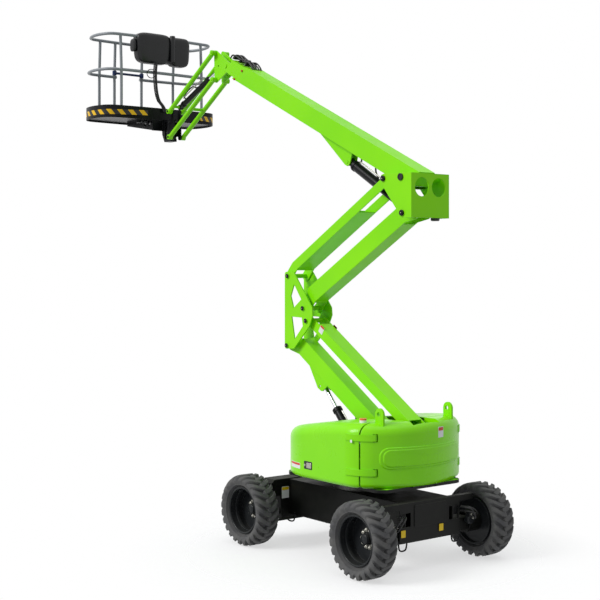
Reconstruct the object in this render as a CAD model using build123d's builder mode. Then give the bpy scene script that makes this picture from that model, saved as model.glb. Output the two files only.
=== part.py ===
# Articulating boom lift: a four-wheel chassis, a slewing turret, a double-parallelogram riser,
# a telescopic upper boom, a jib and a work basket.
# Frame: +X towards the basket, +Y to the left, +Z up, origin on the ground under the slew axis.
# All sizes are in millimetres.
from build123d import *
from math import cos, hypot, radians, sin, sqrt
import os

os.makedirs("parts", exist_ok=True)

# Running gear
wheel_base = 1913
overall_width = 1940
tyre_diameter = 780
tyre_width = 290
rim_diameter = 498
rim_wall = 13
disc_inset = 30
hub_radius = 62
spindle_radius = 45
motor_radius = 110
running_fit = 0.05
kingpin_inset = 185
kingpin_radius = 20
steer_arm = 180

# Chassis
frame_half_width = 340
frame_bottom = 300
frame_top = 690
frame_wall = 12
rear_plate_half_width = 420
rear_plate_top = 700
beam_depth = 190
slew_ring_radius = 320
slew_ring_height = 90
seat_gap = 0.3

# Turret
turret_half_width = 750
turret_bottom = 845
turret_tail_radius = 1050
turret_front = 680
turret_skin = 8
nose_corner = 560
tail_corner = 350
plate_top = 840
seam_x = -751
seam_gap = 14
channel_half_width = 210
post_y = 165
hinge_inset = 12
strap_levels = (975, 1325)
strap_height = 66

# Side view of the riser pins, as (x, z)
turret_c_pin = (-923, 1364)
turret_d_pin = (-569, 1068)
elbow_c_pin = (806, 2465)
elbow_d_pin = (1160, 2169)
elbow_a_pin = (1146, 2970)
elbow_b_pin = (861, 2605)
knuckle_a_pin = (-634, 3992)
knuckle_b_pin = (knuckle_a_pin[0] + elbow_b_pin[0] - elbow_a_pin[0],
                 knuckle_a_pin[1] + elbow_b_pin[1] - elbow_a_pin[1])
boom_pivot = (-900, 3994)
pin_radius = 26
eye_radius = 60
link_plate = 10
window_length = 240
window_lead = 25
window_side = 14

# Elbow and knuckle plates
elbow_half_width = 147
elbow_plate = 14
knuckle_half_width = 266
knuckle_plate = 15
knuckle_rear = -1056
knuckle_bottom = 3577
knuckle_top = 4030
knuckle_hole_radius = 97

# Upper boom, measured along and across its own centre line
boom_angle = 25.5
boom_half_width = 111
boom_up = 90
boom_down = 124
boom_plate = 8
boom_tail = 75
boom_front_top = 3300
boom_front_bottom = 3520
inner_gap = 8
inner_start = 900
nose_pivot = (2488, 5569)
nose_cheek = 14

# Cylinders: pivot of the barrel, eye of the rod, radii and lengths
boom_cylinder = {"pivot": (202, 4230), "eye": (-800, 3640), "radius": 55, "rod": 26,
                 "length": 960, "rod_start": 500, "pivot_eye": 44, "rod_eye": 40, "half": 30}
lift_cylinder = {"pivot": (-45, 955), "eye": (652, 1733), "radius": 48, "rod": 22,
                 "length": 728, "rod_start": 260, "pivot_eye": 45, "rod_eye": 42, "half": 34}
jib_cylinder = {"pivot": (3672, 5183), "eye": (2700, 5600), "radius": 36, "rod": 18,
                "length": 740, "rod_start": 300, "pivot_eye": 34, "rod_eye": 28, "half": 26}
cylinder_pin = 18

# Jib
jib_upper_pin = (2761, 5770)
jib_lower_pin = (2751, 5430)
jib_reach = (1029, -637)
jib_tube_y = 100
jib_tube_radius = 30
jib_tube_wall = 4
jib_pin_radius = 16
jib_plate_y = 46
jib_plate = 14

# Basket
rotator_x = 3900
rotator_radius = 65
rotator_pin = 25
rotator_levels = (4780, 5020)
basket_x = 4437
basket_half_length = 906
basket_half_depth = 374
tray_bottom = 5040
tray_top = 5205
floor_top = 5070
tray_skin = 8
rail_top = 6150
rail_mid = 5680
top_inset = 52
mid_inset = 29
rail_radius = 20
post_radius = 19
gate_end = 30
gate_posts = (376, -57)
gate_level = 5735

wheel_radius = tyre_diameter / 2
wheel_y = (overall_width - tyre_width) / 2
kingpin_y = wheel_y - kingpin_inset
axle_x = wheel_base / 2
beam_rear = axle_x - beam_depth / 2
carrier_upper_pin = (jib_upper_pin[0] + jib_reach[0], jib_upper_pin[1] + jib_reach[1])
carrier_lower_pin = (jib_lower_pin[0] + jib_reach[0], jib_lower_pin[1] + jib_reach[1])


def finish(part, name):
    """Label one finished piece and write it to its own file."""
    part.label = name
    export_step(part, f"parts/{name}.step")


def side_plane(y=0):
    """Side-view plane at y: local x is +X, local y is +Z, and extrusion goes towards -Y."""
    return Plane.XZ.offset(-y)


def along(start, end):
    """Side-view plane at the first pin, with local x towards the second pin."""
    reach = (end[0] - start[0], 0, end[1] - start[1])
    return Plane(origin=(start[0], 0, start[1]), x_dir=reach, z_dir=(0, -1, 0))


def across(plane, x, y=0):
    """Plane square to the local x of a side-view plane, at x along it and at global y."""
    spot = plane.from_local_coords((x, 0, 0)) + Vector(0, y, 0)
    return Plane(origin=spot, x_dir=(0, 1, 0), z_dir=plane.x_dir)


def distance(start, end):
    return hypot(end[0] - start[0], end[1] - start[1])


def link(start, end, half_width, edges, fork_top=0, fork_bottom=0):
    """A box-section link between two pins, its side plates running on as the eyes.

    edges are the lower and upper edge of the section above the pin line. fork_top and
    fork_bottom are how far from the first pin the top and bottom plates begin."""
    length = distance(start, end)
    low, high = edges
    middle = (low + high) / 2
    taper = 150
    with BuildPart() as shape:
        with BuildSketch(along(start, end)):
            with Locations((length / 2, middle)):
                Rectangle(length - 2 * taper, high - low)
        extrude(amount=half_width, both=True)
        for pin_x, box_x in ((0, taper), (length, length - taper)):
            with BuildSketch(along(start, end)):
                with Locations((pin_x, 0)):
                    Circle(eye_radius)
                with Locations((box_x, middle)):
                    Rectangle(40, high - low)
                make_hull()
            extrude(amount=half_width, both=True)
        with BuildSketch(along(start, end)):
            with Locations((length / 2, middle)):
                Rectangle(length - 2 * taper, high - low - 2 * link_plate)
            with Locations((0, 0), (length, 0)):
                Rectangle(2 * taper, 800)
            if fork_top:
                with Locations((fork_top / 2, middle + 200)):
                    Rectangle(fork_top, 400)
                with Locations((fork_bottom / 2, middle - 200)):
                    Rectangle(fork_bottom, 400)
        extrude(amount=half_width - link_plate, both=True, mode=Mode.SUBTRACT)
        with BuildSketch(along(start, end)):
            with Locations((0, 0), (length, 0)):
                Circle(pin_radius + running_fit)
        extrude(amount=half_width, both=True, mode=Mode.SUBTRACT)
    return shape.part


def cylinder_barrel(size):
    """A hydraulic barrel on its pivot eye, with a gland bored for the rod."""
    plane = along(size["pivot"], size["eye"])
    neck = size["pivot_eye"] + 34
    with BuildPart() as shape:
        with BuildSketch(plane):
            Circle(size["pivot_eye"])
            with Locations((neck / 2, 0)):
                Rectangle(neck + 10, 1.2 * size["pivot_eye"])
        extrude(amount=size["half"], both=True)
        with BuildSketch(across(plane, neck)):
            Circle(size["radius"])
        extrude(amount=size["length"] - neck)
        with BuildSketch(across(plane, neck + 16)):
            Circle(size["rod"] + running_fit)
        extrude(amount=size["length"], mode=Mode.SUBTRACT)
        with BuildSketch(plane):
            Circle(cylinder_pin + running_fit)
        extrude(amount=size["radius"], both=True, mode=Mode.SUBTRACT)
    return shape.part


def cylinder_rod(size):
    """The chromed rod, from inside the barrel to its eye."""
    plane = along(size["pivot"], size["eye"])
    length = distance(size["pivot"], size["eye"])
    with BuildPart() as shape:
        with BuildSketch(across(plane, size["rod_start"])):
            Circle(size["rod"])
        extrude(amount=length - size["rod_start"])
        with BuildSketch(plane):
            with Locations((length, 0)):
                Circle(size["rod_eye"])
        extrude(amount=size["half"], both=True)
    return shape.part


# Chassis frame: a hollow centre box and the rear cross plate with its two windows
frame_rear = -axle_x - beam_depth / 2 + 12
with BuildPart() as chassis_frame:
    with BuildSketch(Plane.YZ.offset(frame_rear)):
        with Locations((0, (frame_bottom + frame_top) / 2)):
            Rectangle(2 * frame_half_width, frame_top - frame_bottom)
            Rectangle(2 * (frame_half_width - frame_wall),
                      frame_top - frame_bottom - 2 * frame_wall, mode=Mode.SUBTRACT)
    extrude(amount=beam_rear - frame_rear)
    with BuildSketch(Plane.YZ.offset(frame_rear)):
        with Locations((0, (frame_bottom + rear_plate_top) / 2)):
            Rectangle(2 * rear_plate_half_width, rear_plate_top - frame_bottom)
        with Locations((0, rear_plate_top - 30)):
            Rectangle(1240, 60)
        with Locations((335, 530), (-335, 530)):
            Rectangle(130, 140, mode=Mode.SUBTRACT)
    extrude(amount=-12)
    with BuildSketch(Plane.YZ.offset(frame_rear - 12)):
        with Locations((0, 560)):
            RectangleRounded(440, 220, 20)
    extrude(amount=-8)
    with BuildSketch(Plane.XY.offset(rear_plate_top)):
        with Locations((frame_rear + 18, 0)):
            Rectangle(60, 1240)
    extrude(amount=-10)
finish(chassis_frame.part, "chassis_frame")

# Slew ring on the deck
with BuildPart() as slew_ring:
    with BuildSketch(Plane.XY.offset(frame_top)):
        Circle(slew_ring_radius)
        Circle(slew_ring_radius - 90, mode=Mode.SUBTRACT)
    extrude(amount=slew_ring_height)
finish(slew_ring.part, "slew_ring")

# Rear axle: a fixed beam with a drive housing and a spindle at each end
spindle_reach = wheel_y - 40
disc_y = overall_width / 2 - tyre_width + 60
with BuildPart() as rear_axle:
    with BuildSketch(Plane.XZ):
        with Locations((-axle_x, wheel_radius)):
            RectangleRounded(150, 150, 20)
    extrude(amount=disc_y - 60, both=True)
    with BuildSketch(Plane.XZ):
        with Locations((-axle_x, wheel_radius)):
            Circle(motor_radius)
    extrude(amount=disc_y - 5, both=True)
    with BuildSketch(Plane.XZ):
        with Locations((-axle_x, wheel_radius)):
            Circle(motor_radius + 5)
    extrude(amount=560, both=True, mode=Mode.SUBTRACT)
    with BuildSketch(Plane.XZ):
        with Locations((-axle_x, wheel_radius)):
            RectangleRounded(150, 150, 20)
    extrude(amount=562, both=True)
    with BuildSketch(Plane.XZ):
        with Locations((-axle_x, wheel_radius)):
            Circle(spindle_radius)
    extrude(amount=spindle_reach, both=True)
    with BuildSketch(Plane.YZ.offset(-axle_x - 200)):
        with Locations((0, wheel_radius)):
            Rectangle(2 * frame_half_width, 300)
    extrude(amount=400, mode=Mode.SUBTRACT)
finish(rear_axle.part, "rear_axle")

# Front axle: an open-bottomed box beam that carries the kingpins in forks
with BuildPart() as front_axle:
    with BuildSketch(Plane.YZ.offset(beam_rear)):
        Polygon((-450, 250), (450, 250), (470, 505), (590, 520), (590, 660), (550, 700),
                (-550, 700), (-590, 660), (-590, 520), (-470, 505), align=None)
    extrude(amount=beam_depth)
    with BuildSketch(Plane.XY.offset(240)):
        with Locations((axle_x, 0)):
            Rectangle(beam_depth - 30, 860)
    extrude(amount=445, mode=Mode.SUBTRACT)
    for side in (-1, 1):
        for level in (300, 520):
            with BuildSketch(Plane.XY.offset(level)):
                with Locations((axle_x, side * (kingpin_y - 110))):
                    Rectangle(76, 220)
                with Locations((axle_x, side * kingpin_y)):
                    Circle(38)
            extrude(amount=24)
        with BuildSketch(Plane((axle_x, side * kingpin_y, 300))):
            Circle(kingpin_radius)
        extrude(amount=240)
finish(front_axle.part, "front_axle")

# Steering knuckles with drive housings, spindles and track-rod arms
for side, word in ((1, "left"), (-1, "right")):
    with BuildPart() as steering_knuckle:
        with BuildSketch(Plane((axle_x, side * kingpin_y, 330))):
            Circle(40)
        extrude(amount=184)
        with BuildSketch(side_plane(side * kingpin_y)):
            with Locations((axle_x, wheel_radius)):
                Circle(48)
        extrude(amount=-side * (spindle_reach - kingpin_y - 80))
        with BuildSketch(side_plane(side * (kingpin_y + 44))):
            with Locations((axle_x, wheel_radius)):
                Circle(motor_radius)
        extrude(amount=-side * (disc_y - 5 - kingpin_y - 44))
        with BuildSketch(side_plane(side * (disc_y - 20))):
            with Locations((axle_x, wheel_radius)):
                Circle(spindle_radius)
        extrude(amount=-side * (spindle_reach - disc_y + 20))
        with BuildSketch(Plane((axle_x, side * kingpin_y, 336))):
            with Locations((-steer_arm / 2, 0)):
                Rectangle(steer_arm, 44)
            with Locations((-steer_arm, 0)):
                Circle(22)
        extrude(amount=18)
        with BuildSketch(Plane((axle_x, side * kingpin_y, 290))):
            Circle(kingpin_radius + running_fit)
        extrude(amount=260, mode=Mode.SUBTRACT)
        with BuildSketch(Plane((axle_x - steer_arm, side * kingpin_y, 250))):
            Circle(9)
        extrude(amount=90)
    finish(steering_knuckle.part, f"steering_knuckle_{word}")

# Track rod between the two steering arms
with BuildPart() as track_rod:
    with BuildSketch(side_plane(kingpin_y)):
        with Locations((axle_x - steer_arm, 270)):
            Circle(14)
    extrude(amount=2 * kingpin_y)
    for side in (-1, 1):
        with BuildSketch(Plane((axle_x - steer_arm, side * kingpin_y, 255))):
            Circle(24)
        extrude(amount=30)
        with BuildSketch(Plane((axle_x - steer_arm, side * kingpin_y, 240))):
            Circle(9 + running_fit)
        extrude(amount=60, mode=Mode.SUBTRACT)
finish(track_rod.part, "track_rod")

# Tyres and rims, turned about each wheel's axis: local x across the wheel, local y its radius
bead = rim_diameter / 2
for x, end in ((axle_x, "front"), (-axle_x, "rear")):
    for side, word in ((1, "left"), (-1, "right")):
        wheel_plane = Plane(origin=(x, 0, wheel_radius), x_dir=(0, 1, 0), z_dir=(-1, 0, 0))
        wheel_axis = Axis((x, 0, wheel_radius), (0, 1, 0))
        section = ((113, bead), (81, 270), (130, 300), (145, 340), (135, 365), (100, 390))
        outer = [(side * wheel_y - across_y, -r) for across_y, r in section[1:]]
        inner = [(side * wheel_y + across_y, -r) for across_y, r in reversed(section[1:])]
        with BuildPart() as tyre:
            with BuildSketch(wheel_plane):
                Polygon((side * wheel_y - 80, -bead), *outer, *inner, (side * wheel_y + 80, -bead),
                        align=None)
            revolve(axis=wheel_axis)
        finish(tyre.part, f"tyre_{end}_{word}")
        face = side * (wheel_y + 91)
        back = side * (wheel_y - 118)
        disc = side * disc_y
        with BuildPart() as rim:
            with BuildSketch(wheel_plane):
                Polygon((face, -bead), (face, 12 - bead), (disc + side * 12, 12 - bead),
                        (disc + side * 12, -hub_radius), (disc + side * 60, -hub_radius + 6),
                        (disc + side * 60, 0), (disc + side * 50, 0),
                        (disc + side * 50, -spindle_radius - running_fit),
                        (disc, -spindle_radius - running_fit), (disc, 12 - bead),
                        (back, 12 - bead), (back, -bead), align=None)
            revolve(axis=wheel_axis)
        finish(rim.part, f"rim_{end}_{word}")


def turret_form(inset):
    """The closed turret shape: a round-nosed plan with a tail arc, its top falling to the front."""
    with BuildPart() as form:
        with BuildSketch(Plane.XY.offset(turret_bottom + inset)):
            with Locations(((turret_front - 1400) / 2, 0)):
                Rectangle(turret_front + 1400 - 2 * inset, 2 * (turret_half_width - inset))
            Circle(turret_tail_radius - inset, mode=Mode.INTERSECT)
            fillet(vertices().group_by(Axis.X)[-1], nose_corner - inset)
            fillet(vertices().group_by(Axis.X)[0], tail_corner - inset)
        extrude(amount=800)
        with BuildSketch(side_plane()):
            with BuildLine():
                ThreePointArc((-1200, 1497 - inset), (-250, 1463 - inset), (800, 1255 - inset))
                Polyline((800, 1255 - inset), (800, 1900), (-1200, 1900), (-1200, 1497 - inset))
            make_face()
        extrude(amount=900, both=True, mode=Mode.SUBTRACT)
        roof = form.faces().sort_by(Axis.Z)[-1]
        fillet(roof.edges(), 120 - inset)
        fillet(form.faces().sort_by(Axis.Z)[0].edges(), 50 - inset / 2)
    return form.part


turret_outer = turret_form(0)
turret_inner = turret_form(turret_skin)
corner_y = turret_half_width - tail_corner
corner_x = -sqrt((turret_tail_radius - tail_corner) ** 2 - corner_y ** 2)
hinge_x = -862
hinge_y = corner_y + sqrt((tail_corner - hinge_inset) ** 2 - (hinge_x - corner_x) ** 2)

# Turret base: the slewing plate, its spigot and the posts that carry the riser
ring_top = frame_top + slew_ring_height
with BuildPart() as turret_base:
    with BuildSketch(Plane.XY.offset(plate_top - 34)):
        with Locations((-160, 0)):
            RectangleRounded(1600, 1160, 120)
    extrude(amount=34)
    with BuildSketch(Plane.XY.offset(ring_top + seat_gap)):
        Circle(slew_ring_radius + 15)
    extrude(amount=plate_top - 30 - ring_top - seat_gap)
    with BuildSketch(Plane.XY.offset(frame_top + 10)):
        Circle(slew_ring_radius - 90 - running_fit)
    extrude(amount=slew_ring_height)
    with BuildSketch(Plane.XY.offset(frame_top)):
        Circle(slew_ring_radius - 140)
    extrude(amount=120, mode=Mode.SUBTRACT)
    for side in (-1, 1):
        with BuildSketch(side_plane(side * post_y + 8)):
            Polygon((-985, plate_top - 10), (-985, 1405), (-955, 1428), (-890, 1428), (-510, 1140),
                    (-180, 1000), (-150, plate_top - 10), align=None)
        extrude(amount=16)
        with BuildSketch(side_plane(side * 52 + 6)):
            Polygon((-140, plate_top - 10), (-90, 1000), (0, 1000), (50, plate_top - 10), align=None)
        extrude(amount=12)
        with BuildSketch(Plane.XY.offset(plate_top)):
            with Locations((-880, side * 370)):
                Rectangle(150, 260)
        extrude(amount=turret_bottom - plate_top)
    for pin in (turret_c_pin, turret_d_pin):
        with BuildSketch(side_plane()):
            with Locations(pin):
                Circle(pin_radius)
        extrude(amount=post_y + 12, both=True)
        for side in (-1, 1):
            with BuildSketch(side_plane(side * post_y)):
                with Locations(pin):
                    Circle(eye_radius - 15)
            extrude(amount=side * (post_y - 100))
    with BuildSketch(side_plane()):
        with Locations(lift_cylinder["pivot"]):
            Circle(cylinder_pin)
    extrude(amount=64, both=True)
finish(turret_base.part, "turret_base")

# Counterweight: the solid tail behind the seam, slotted for the riser
with BuildPart() as counterweight:
    with BuildSketch(Plane.XY.offset(turret_bottom)):
        with Locations((seam_x - seam_gap - 400, 0)):
            Rectangle(800, 1600)
    extrude(amount=700)
    add(turret_outer, mode=Mode.INTERSECT)
    with BuildSketch(Plane.XY.offset(turret_bottom)):
        with Locations((seam_x, 0)):
            Rectangle(490, 380)
    extrude(amount=700, mode=Mode.SUBTRACT)
    for side in (-1, 1):
        for level in strap_levels:
            with BuildSketch(Plane((hinge_x, side * hinge_y, level - 6))):
                Circle(27)
            extrude(amount=strap_height + 12, mode=Mode.SUBTRACT)
            with BuildSketch(Plane((hinge_x, side * hinge_y, level - 10))):
                Circle(7)
            extrude(amount=strap_height + 20)
        with BuildSketch(side_plane(side * 482 + 12)):
            Polygon((-860, 1440), (-860, 1500), (-835, 1630), (-792, 1630), (-770, 1500),
                    (-770, 1440), align=None)
            with Locations((-814, 1585)):
                Circle(22, mode=Mode.SUBTRACT)
        extrude(amount=24)
finish(counterweight.part, "counterweight")

# Side covers: open shells that swing out about upright hinges at the seam
for side, word in ((1, "left"), (-1, "right")):
    with BuildPart() as cover:
        with BuildSketch(Plane.XY.offset(turret_bottom)):
            with Locations(((seam_x + 800) / 2, side * (channel_half_width + 800) / 2)):
                Rectangle(800 - seam_x, 800 - channel_half_width)
        extrude(amount=700)
        add(turret_outer, mode=Mode.INTERSECT)
        add(turret_inner, mode=Mode.SUBTRACT)
        with BuildSketch(Plane.XY.offset(turret_bottom - 5)):
            with Locations((-100, 0)):
                RectangleRounded(1440, 1380, 480)
            with Locations((-500, 0)):
                Rectangle(700, 1380)
        extrude(amount=20, mode=Mode.SUBTRACT)
        for level in strap_levels:
            with BuildSketch(Plane((corner_x, side * corner_y, level))):
                Circle(tail_corner + 9)
                Circle(tail_corner + 1.5, mode=Mode.SUBTRACT)
                Polygon((0, 0), (3 * (hinge_x - corner_x), 3 * side * (hinge_y - corner_y)),
                        (-900, side * 1500), (-130, side * 1500), align=None, mode=Mode.INTERSECT)
            extrude(amount=strap_height)
            with BuildSketch(Plane((corner_x, side * corner_y, level))):
                Circle(tail_corner + 9)
                Circle(tail_corner - 4, mode=Mode.SUBTRACT)
                Polygon((0, 0), (seam_x - corner_x, side * 302), (-900, side * 1536),
                        (-130, side * 1500), align=None, mode=Mode.INTERSECT)
                with Locations((seam_x - corner_x - 100, side * 302)):
                    Rectangle(200, 900, mode=Mode.SUBTRACT)
            extrude(amount=strap_height)
            with BuildSketch(Plane((hinge_x, side * hinge_y, level))):
                Circle(16)
            extrude(amount=strap_height)
            with BuildSketch(Plane((hinge_x, side * hinge_y, level))):
                Circle(7 + running_fit)
            extrude(amount=strap_height, mode=Mode.SUBTRACT)
    finish(cover.part, f"cover_{word}")

# Engine on the right of the turret
with BuildPart() as engine_block:
    with BuildSketch(Plane.XY.offset(plate_top)):
        with Locations((-250, -420)):
            RectangleRounded(640, 280, 30)
    extrude(amount=420)
finish(engine_block.part, "engine_block")

# Exhaust pipe beside the riser channel
with BuildPart() as exhaust_pipe:
    with BuildSketch(Plane((290, -172, plate_top))):
        Circle(24)
    extrude(amount=1610 - plate_top)
finish(exhaust_pipe.part, "exhaust_pipe")

# Beacon on the left cover
with BuildPart() as beacon:
    with BuildSketch(Plane((-678, 580, 1440))):
        Circle(37)
    extrude(amount=100)
    add(turret_outer, mode=Mode.SUBTRACT)
finish(beacon.part, "beacon")

# Riser links, named by their pins
riser_link_c = link(turret_c_pin, elbow_c_pin, 93, (-57, 57))
finish(riser_link_c, "riser_link_c")
with BuildPart() as riser_link_d:
    add(link(turret_d_pin, elbow_d_pin, 82, (-4, 190)))
    for side in (-1, 1):
        with BuildSketch(side_plane(side * 66 + 6)):
            Polygon((500, 1755), (600, 1680), (630, 1680), (690, 1710), (860, 1985), (840, 1985),
                    align=None)
            with Locations(lift_cylinder["eye"]):
                Circle(14, mode=Mode.SUBTRACT)
        extrude(amount=12)
    # Window in the bottom plate, which the rod's eye rises into at both ends of its travel
    pin_line = along(turret_d_pin, elbow_d_pin)
    eye_x, eye_z = lift_cylinder["eye"]
    eye_along = pin_line.to_local_coords(Vector(eye_x, 0, eye_z)).X
    with BuildSketch(pin_line):
        with Locations((eye_along - window_lead, 0)):
            Rectangle(window_length, 3 * link_plate)
    extrude(amount=lift_cylinder["half"] + window_side, both=True, mode=Mode.SUBTRACT)
finish(riser_link_d.part, "riser_link_d")
riser_link_b = link(knuckle_b_pin, elbow_b_pin, 90, (-4, 190), 560, 210)
finish(riser_link_b, "riser_link_b")
riser_link_a = link(knuckle_a_pin, elbow_a_pin, 127, (-4, 104), 780, 650)
finish(riser_link_a, "riser_link_a")

# Elbow: two cut-out plates joined by the pins
elbow_outline = ((1205, 3018), (1042, 3019), (820, 2760), (700, 2614), (690, 2527), (750, 2406),
                 (1033, 2137), (1205, 2128))
with BuildPart() as elbow:
    for side in (-1, 1):
        y_left = side * (elbow_half_width - elbow_plate / 2) + elbow_plate / 2
        with BuildSketch(side_plane(y_left)):
            Polygon(*elbow_outline, align=None)
            fillet(vertices(), 30)
            Polygon((1031, 2877), (1093, 2740), (1040, 2603), (897, 2705), align=None,
                    mode=Mode.SUBTRACT)
            Polygon((1076, 2503), (887, 2498), (868, 2401), (1021, 2247), align=None,
                    mode=Mode.SUBTRACT)
        extrude(amount=elbow_plate)
    for pin in (elbow_a_pin, elbow_b_pin, elbow_c_pin, elbow_d_pin):
        with BuildSketch(side_plane()):
            with Locations(pin):
                Circle(pin_radius)
        extrude(amount=elbow_half_width + 12, both=True)
finish(elbow.part, "elbow")

# Knuckle: the box that carries the upper boom
with BuildPart() as knuckle:
    with BuildSketch(side_plane()):
        Polygon((knuckle_rear, knuckle_top), (knuckle_rear, knuckle_bottom), (-908, knuckle_bottom),
                (-612, 3927), (-590, 3990), (-600, knuckle_top), (-640, 4040), align=None)
    extrude(amount=knuckle_half_width, both=True)
    with BuildSketch(side_plane()):
        with Locations((knuckle_rear + knuckle_plate + 400, 3800)):
            Rectangle(800, 900)
    extrude(amount=knuckle_half_width - knuckle_plate, both=True, mode=Mode.SUBTRACT)
    with BuildSketch(Plane.YZ.offset(knuckle_rear)):
        with Locations((118, 3890), (-118, 3890)):
            Circle(knuckle_hole_radius)
    extrude(amount=knuckle_plate, mode=Mode.SUBTRACT)
    with BuildSketch(side_plane()):
        with Locations(knuckle_b_pin, boom_pivot):
            Circle(pin_radius)
    extrude(amount=knuckle_half_width + 8, both=True)
    for pin, start in ((knuckle_a_pin, 118), (knuckle_a_pin, 134), (knuckle_b_pin, 96),
                       (boom_pivot, 117)):
        radius = pin_radius if start == 118 else eye_radius - 15
        for side in (-1, 1):
            with BuildSketch(side_plane(side * start)):
                with Locations(pin):
                    Circle(radius)
            extrude(amount=-side * (knuckle_half_width - 5 - start))
    for side in (-1, 1):
        with BuildSketch(side_plane(side * 46 + 8)):
            Polygon((knuckle_rear + 10, 3720), (knuckle_rear + 10, 3590), (-800, 3590),
                    (-755, 3615), (-755, 3668), (-800, 3692), align=None)
            with Locations(boom_cylinder["eye"]):
                Circle(14, mode=Mode.SUBTRACT)
        extrude(amount=16)
finish(knuckle.part, "knuckle")

# Upper boom, in its own sloping plane
boom_plane = Plane(origin=(boom_pivot[0], 0, boom_pivot[1]),
                   x_dir=(cos(radians(boom_angle)), 0, sin(radians(boom_angle))),
                   z_dir=(0, -1, 0))
inner_half_width = boom_half_width - boom_plate - inner_gap
inner_up = boom_up - boom_plate - inner_gap
inner_down = boom_down - boom_plate - inner_gap
with BuildPart() as boom_outer:
    with BuildSketch(boom_plane):
        Polygon((-boom_tail, boom_up), (-boom_tail, -boom_down + 60), (-boom_tail + 60, -boom_down),
                (boom_front_bottom, -boom_down), (boom_front_top, boom_up), align=None)
    extrude(amount=boom_half_width, both=True)
    with BuildSketch(boom_plane):
        with Locations((2000 - boom_tail + boom_plate, (boom_up - boom_down) / 2)):
            Rectangle(4000, boom_up + boom_down - 2 * boom_plate)
    extrude(amount=boom_half_width - boom_plate, both=True, mode=Mode.SUBTRACT)
    with BuildSketch(boom_plane):
        Circle(pin_radius + running_fit)
    extrude(amount=boom_half_width, both=True, mode=Mode.SUBTRACT)
    with BuildSketch(boom_plane):
        with Locations((3170, inner_up + 5), (3170, -inner_down - 5)):
            Rectangle(140, 10 - 2 * seat_gap)
    extrude(amount=inner_half_width - 5, both=True)
    for side in (-1, 1):
        with BuildSketch(boom_plane.offset(-side * (inner_half_width + seat_gap))):
            with Locations((3170, (inner_up - inner_down) / 2)):
                Rectangle(140, 140)
        extrude(amount=-side * inner_gap)
        with BuildSketch(side_plane(side * 42 + 7)):
            Polygon((150, 4225), (175, 4190), (202, 4183), (240, 4200), (738, 4640), (115, 4343),
                    align=None)
        extrude(amount=14)
    with BuildSketch(side_plane()):
        with Locations(boom_cylinder["pivot"]):
            Circle(cylinder_pin)
    extrude(amount=55, both=True)
finish(boom_outer.part, "boom_outer")

nose = boom_plane.to_local_coords(Vector(nose_pivot[0], 0, nose_pivot[1]))
with BuildPart() as boom_inner:
    inner_end = nose.X - 90
    inner_middle = (inner_up - inner_down) / 2
    with BuildSketch(boom_plane):
        with Locations(((inner_start + inner_end) / 2, inner_middle)):
            Rectangle(inner_end - inner_start, inner_up + inner_down)
        with Locations((nose.X, nose.Y)):
            Circle(65)
        with Locations((nose.X - 50, nose.Y)):
            Rectangle(100, 130)
    extrude(amount=inner_half_width, both=True)
    with BuildSketch(boom_plane):
        with Locations(((inner_start + inner_end) / 2, inner_middle)):
            Rectangle(inner_end - inner_start + 2, inner_up + inner_down - 2 * boom_plate)
        with Locations((inner_end + 150, inner_middle)):
            Rectangle(300, 500)
    extrude(amount=inner_half_width - nose_cheek, both=True, mode=Mode.SUBTRACT)
    with BuildSketch(boom_plane):
        with Locations((nose.X, nose.Y)):
            Circle(pin_radius + running_fit)
    extrude(amount=inner_half_width, both=True, mode=Mode.SUBTRACT)
    with BuildSketch(boom_plane):
        with Locations((inner_start + 60, inner_up + 3), (inner_start + 60, -inner_down - 3)):
            Rectangle(100, 10 - 2 * seat_gap)
    extrude(amount=inner_half_width - 5, both=True)
finish(boom_inner.part, "boom_inner")

# The three pairs of hydraulic cylinder pieces
for size, word in ((boom_cylinder, "boom"), (lift_cylinder, "lift"), (jib_cylinder, "jib")):
    finish(cylinder_barrel(size), f"{word}_cylinder_barrel")
    finish(cylinder_rod(size), f"{word}_cylinder_rod")

# Nose bracket: keeps the jib's pins level
with BuildPart() as nose_bracket:
    for side in (-1, 1):
        with BuildSketch(side_plane(side * (jib_plate_y + jib_plate / 2) + jib_plate / 2)):
            with Locations(nose_pivot):
                Circle(52)
            with Locations(jib_upper_pin, jib_lower_pin):
                Circle(34)
            make_hull()
            with Locations(jib_cylinder["eye"]):
                Circle(12, mode=Mode.SUBTRACT)
        extrude(amount=jib_plate)
    with BuildSketch(side_plane()):
        with Locations(nose_pivot):
            Circle(pin_radius)
    extrude(amount=inner_half_width + 8, both=True)
    for side in (-1, 1):
        with BuildSketch(side_plane(side * jib_plate_y)):
            with Locations(jib_upper_pin, jib_lower_pin):
                Circle(jib_pin_radius)
        extrude(amount=-side * (jib_tube_y + jib_tube_radius + 6 - jib_plate_y))
finish(nose_bracket.part, "nose_bracket")


def jib_tubes(start, bar, bar_radius):
    """A pair of jib tubes between their eyes, with a cross bar at one place."""
    end = (start[0] + jib_reach[0], start[1] + jib_reach[1])
    plane = along(start, end)
    length = distance(start, end)
    with BuildPart() as shape:
        for side in (-1, 1):
            with BuildSketch(across(plane, 0, side * jib_tube_y)):
                Circle(jib_tube_radius)
                Circle(jib_tube_radius - jib_tube_wall, mode=Mode.SUBTRACT)
            extrude(amount=length)
            with BuildSketch(plane.offset(-side * jib_tube_y)):
                with Locations((0, 0), (length, 0)):
                    Circle(jib_tube_radius + 2)
            extrude(amount=jib_tube_radius, both=True)
        with BuildSketch(side_plane()):
            with Locations(bar):
                Circle(bar_radius)
        extrude(amount=jib_tube_y - 10, both=True)
        for side in (-1, 1):
            with BuildSketch(plane.offset(-side * jib_tube_y)):
                with Locations((0, 0), (length, 0)):
                    Circle(jib_pin_radius + running_fit)
            extrude(amount=jib_tube_radius + 5, both=True, mode=Mode.SUBTRACT)
    return shape.part


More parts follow.
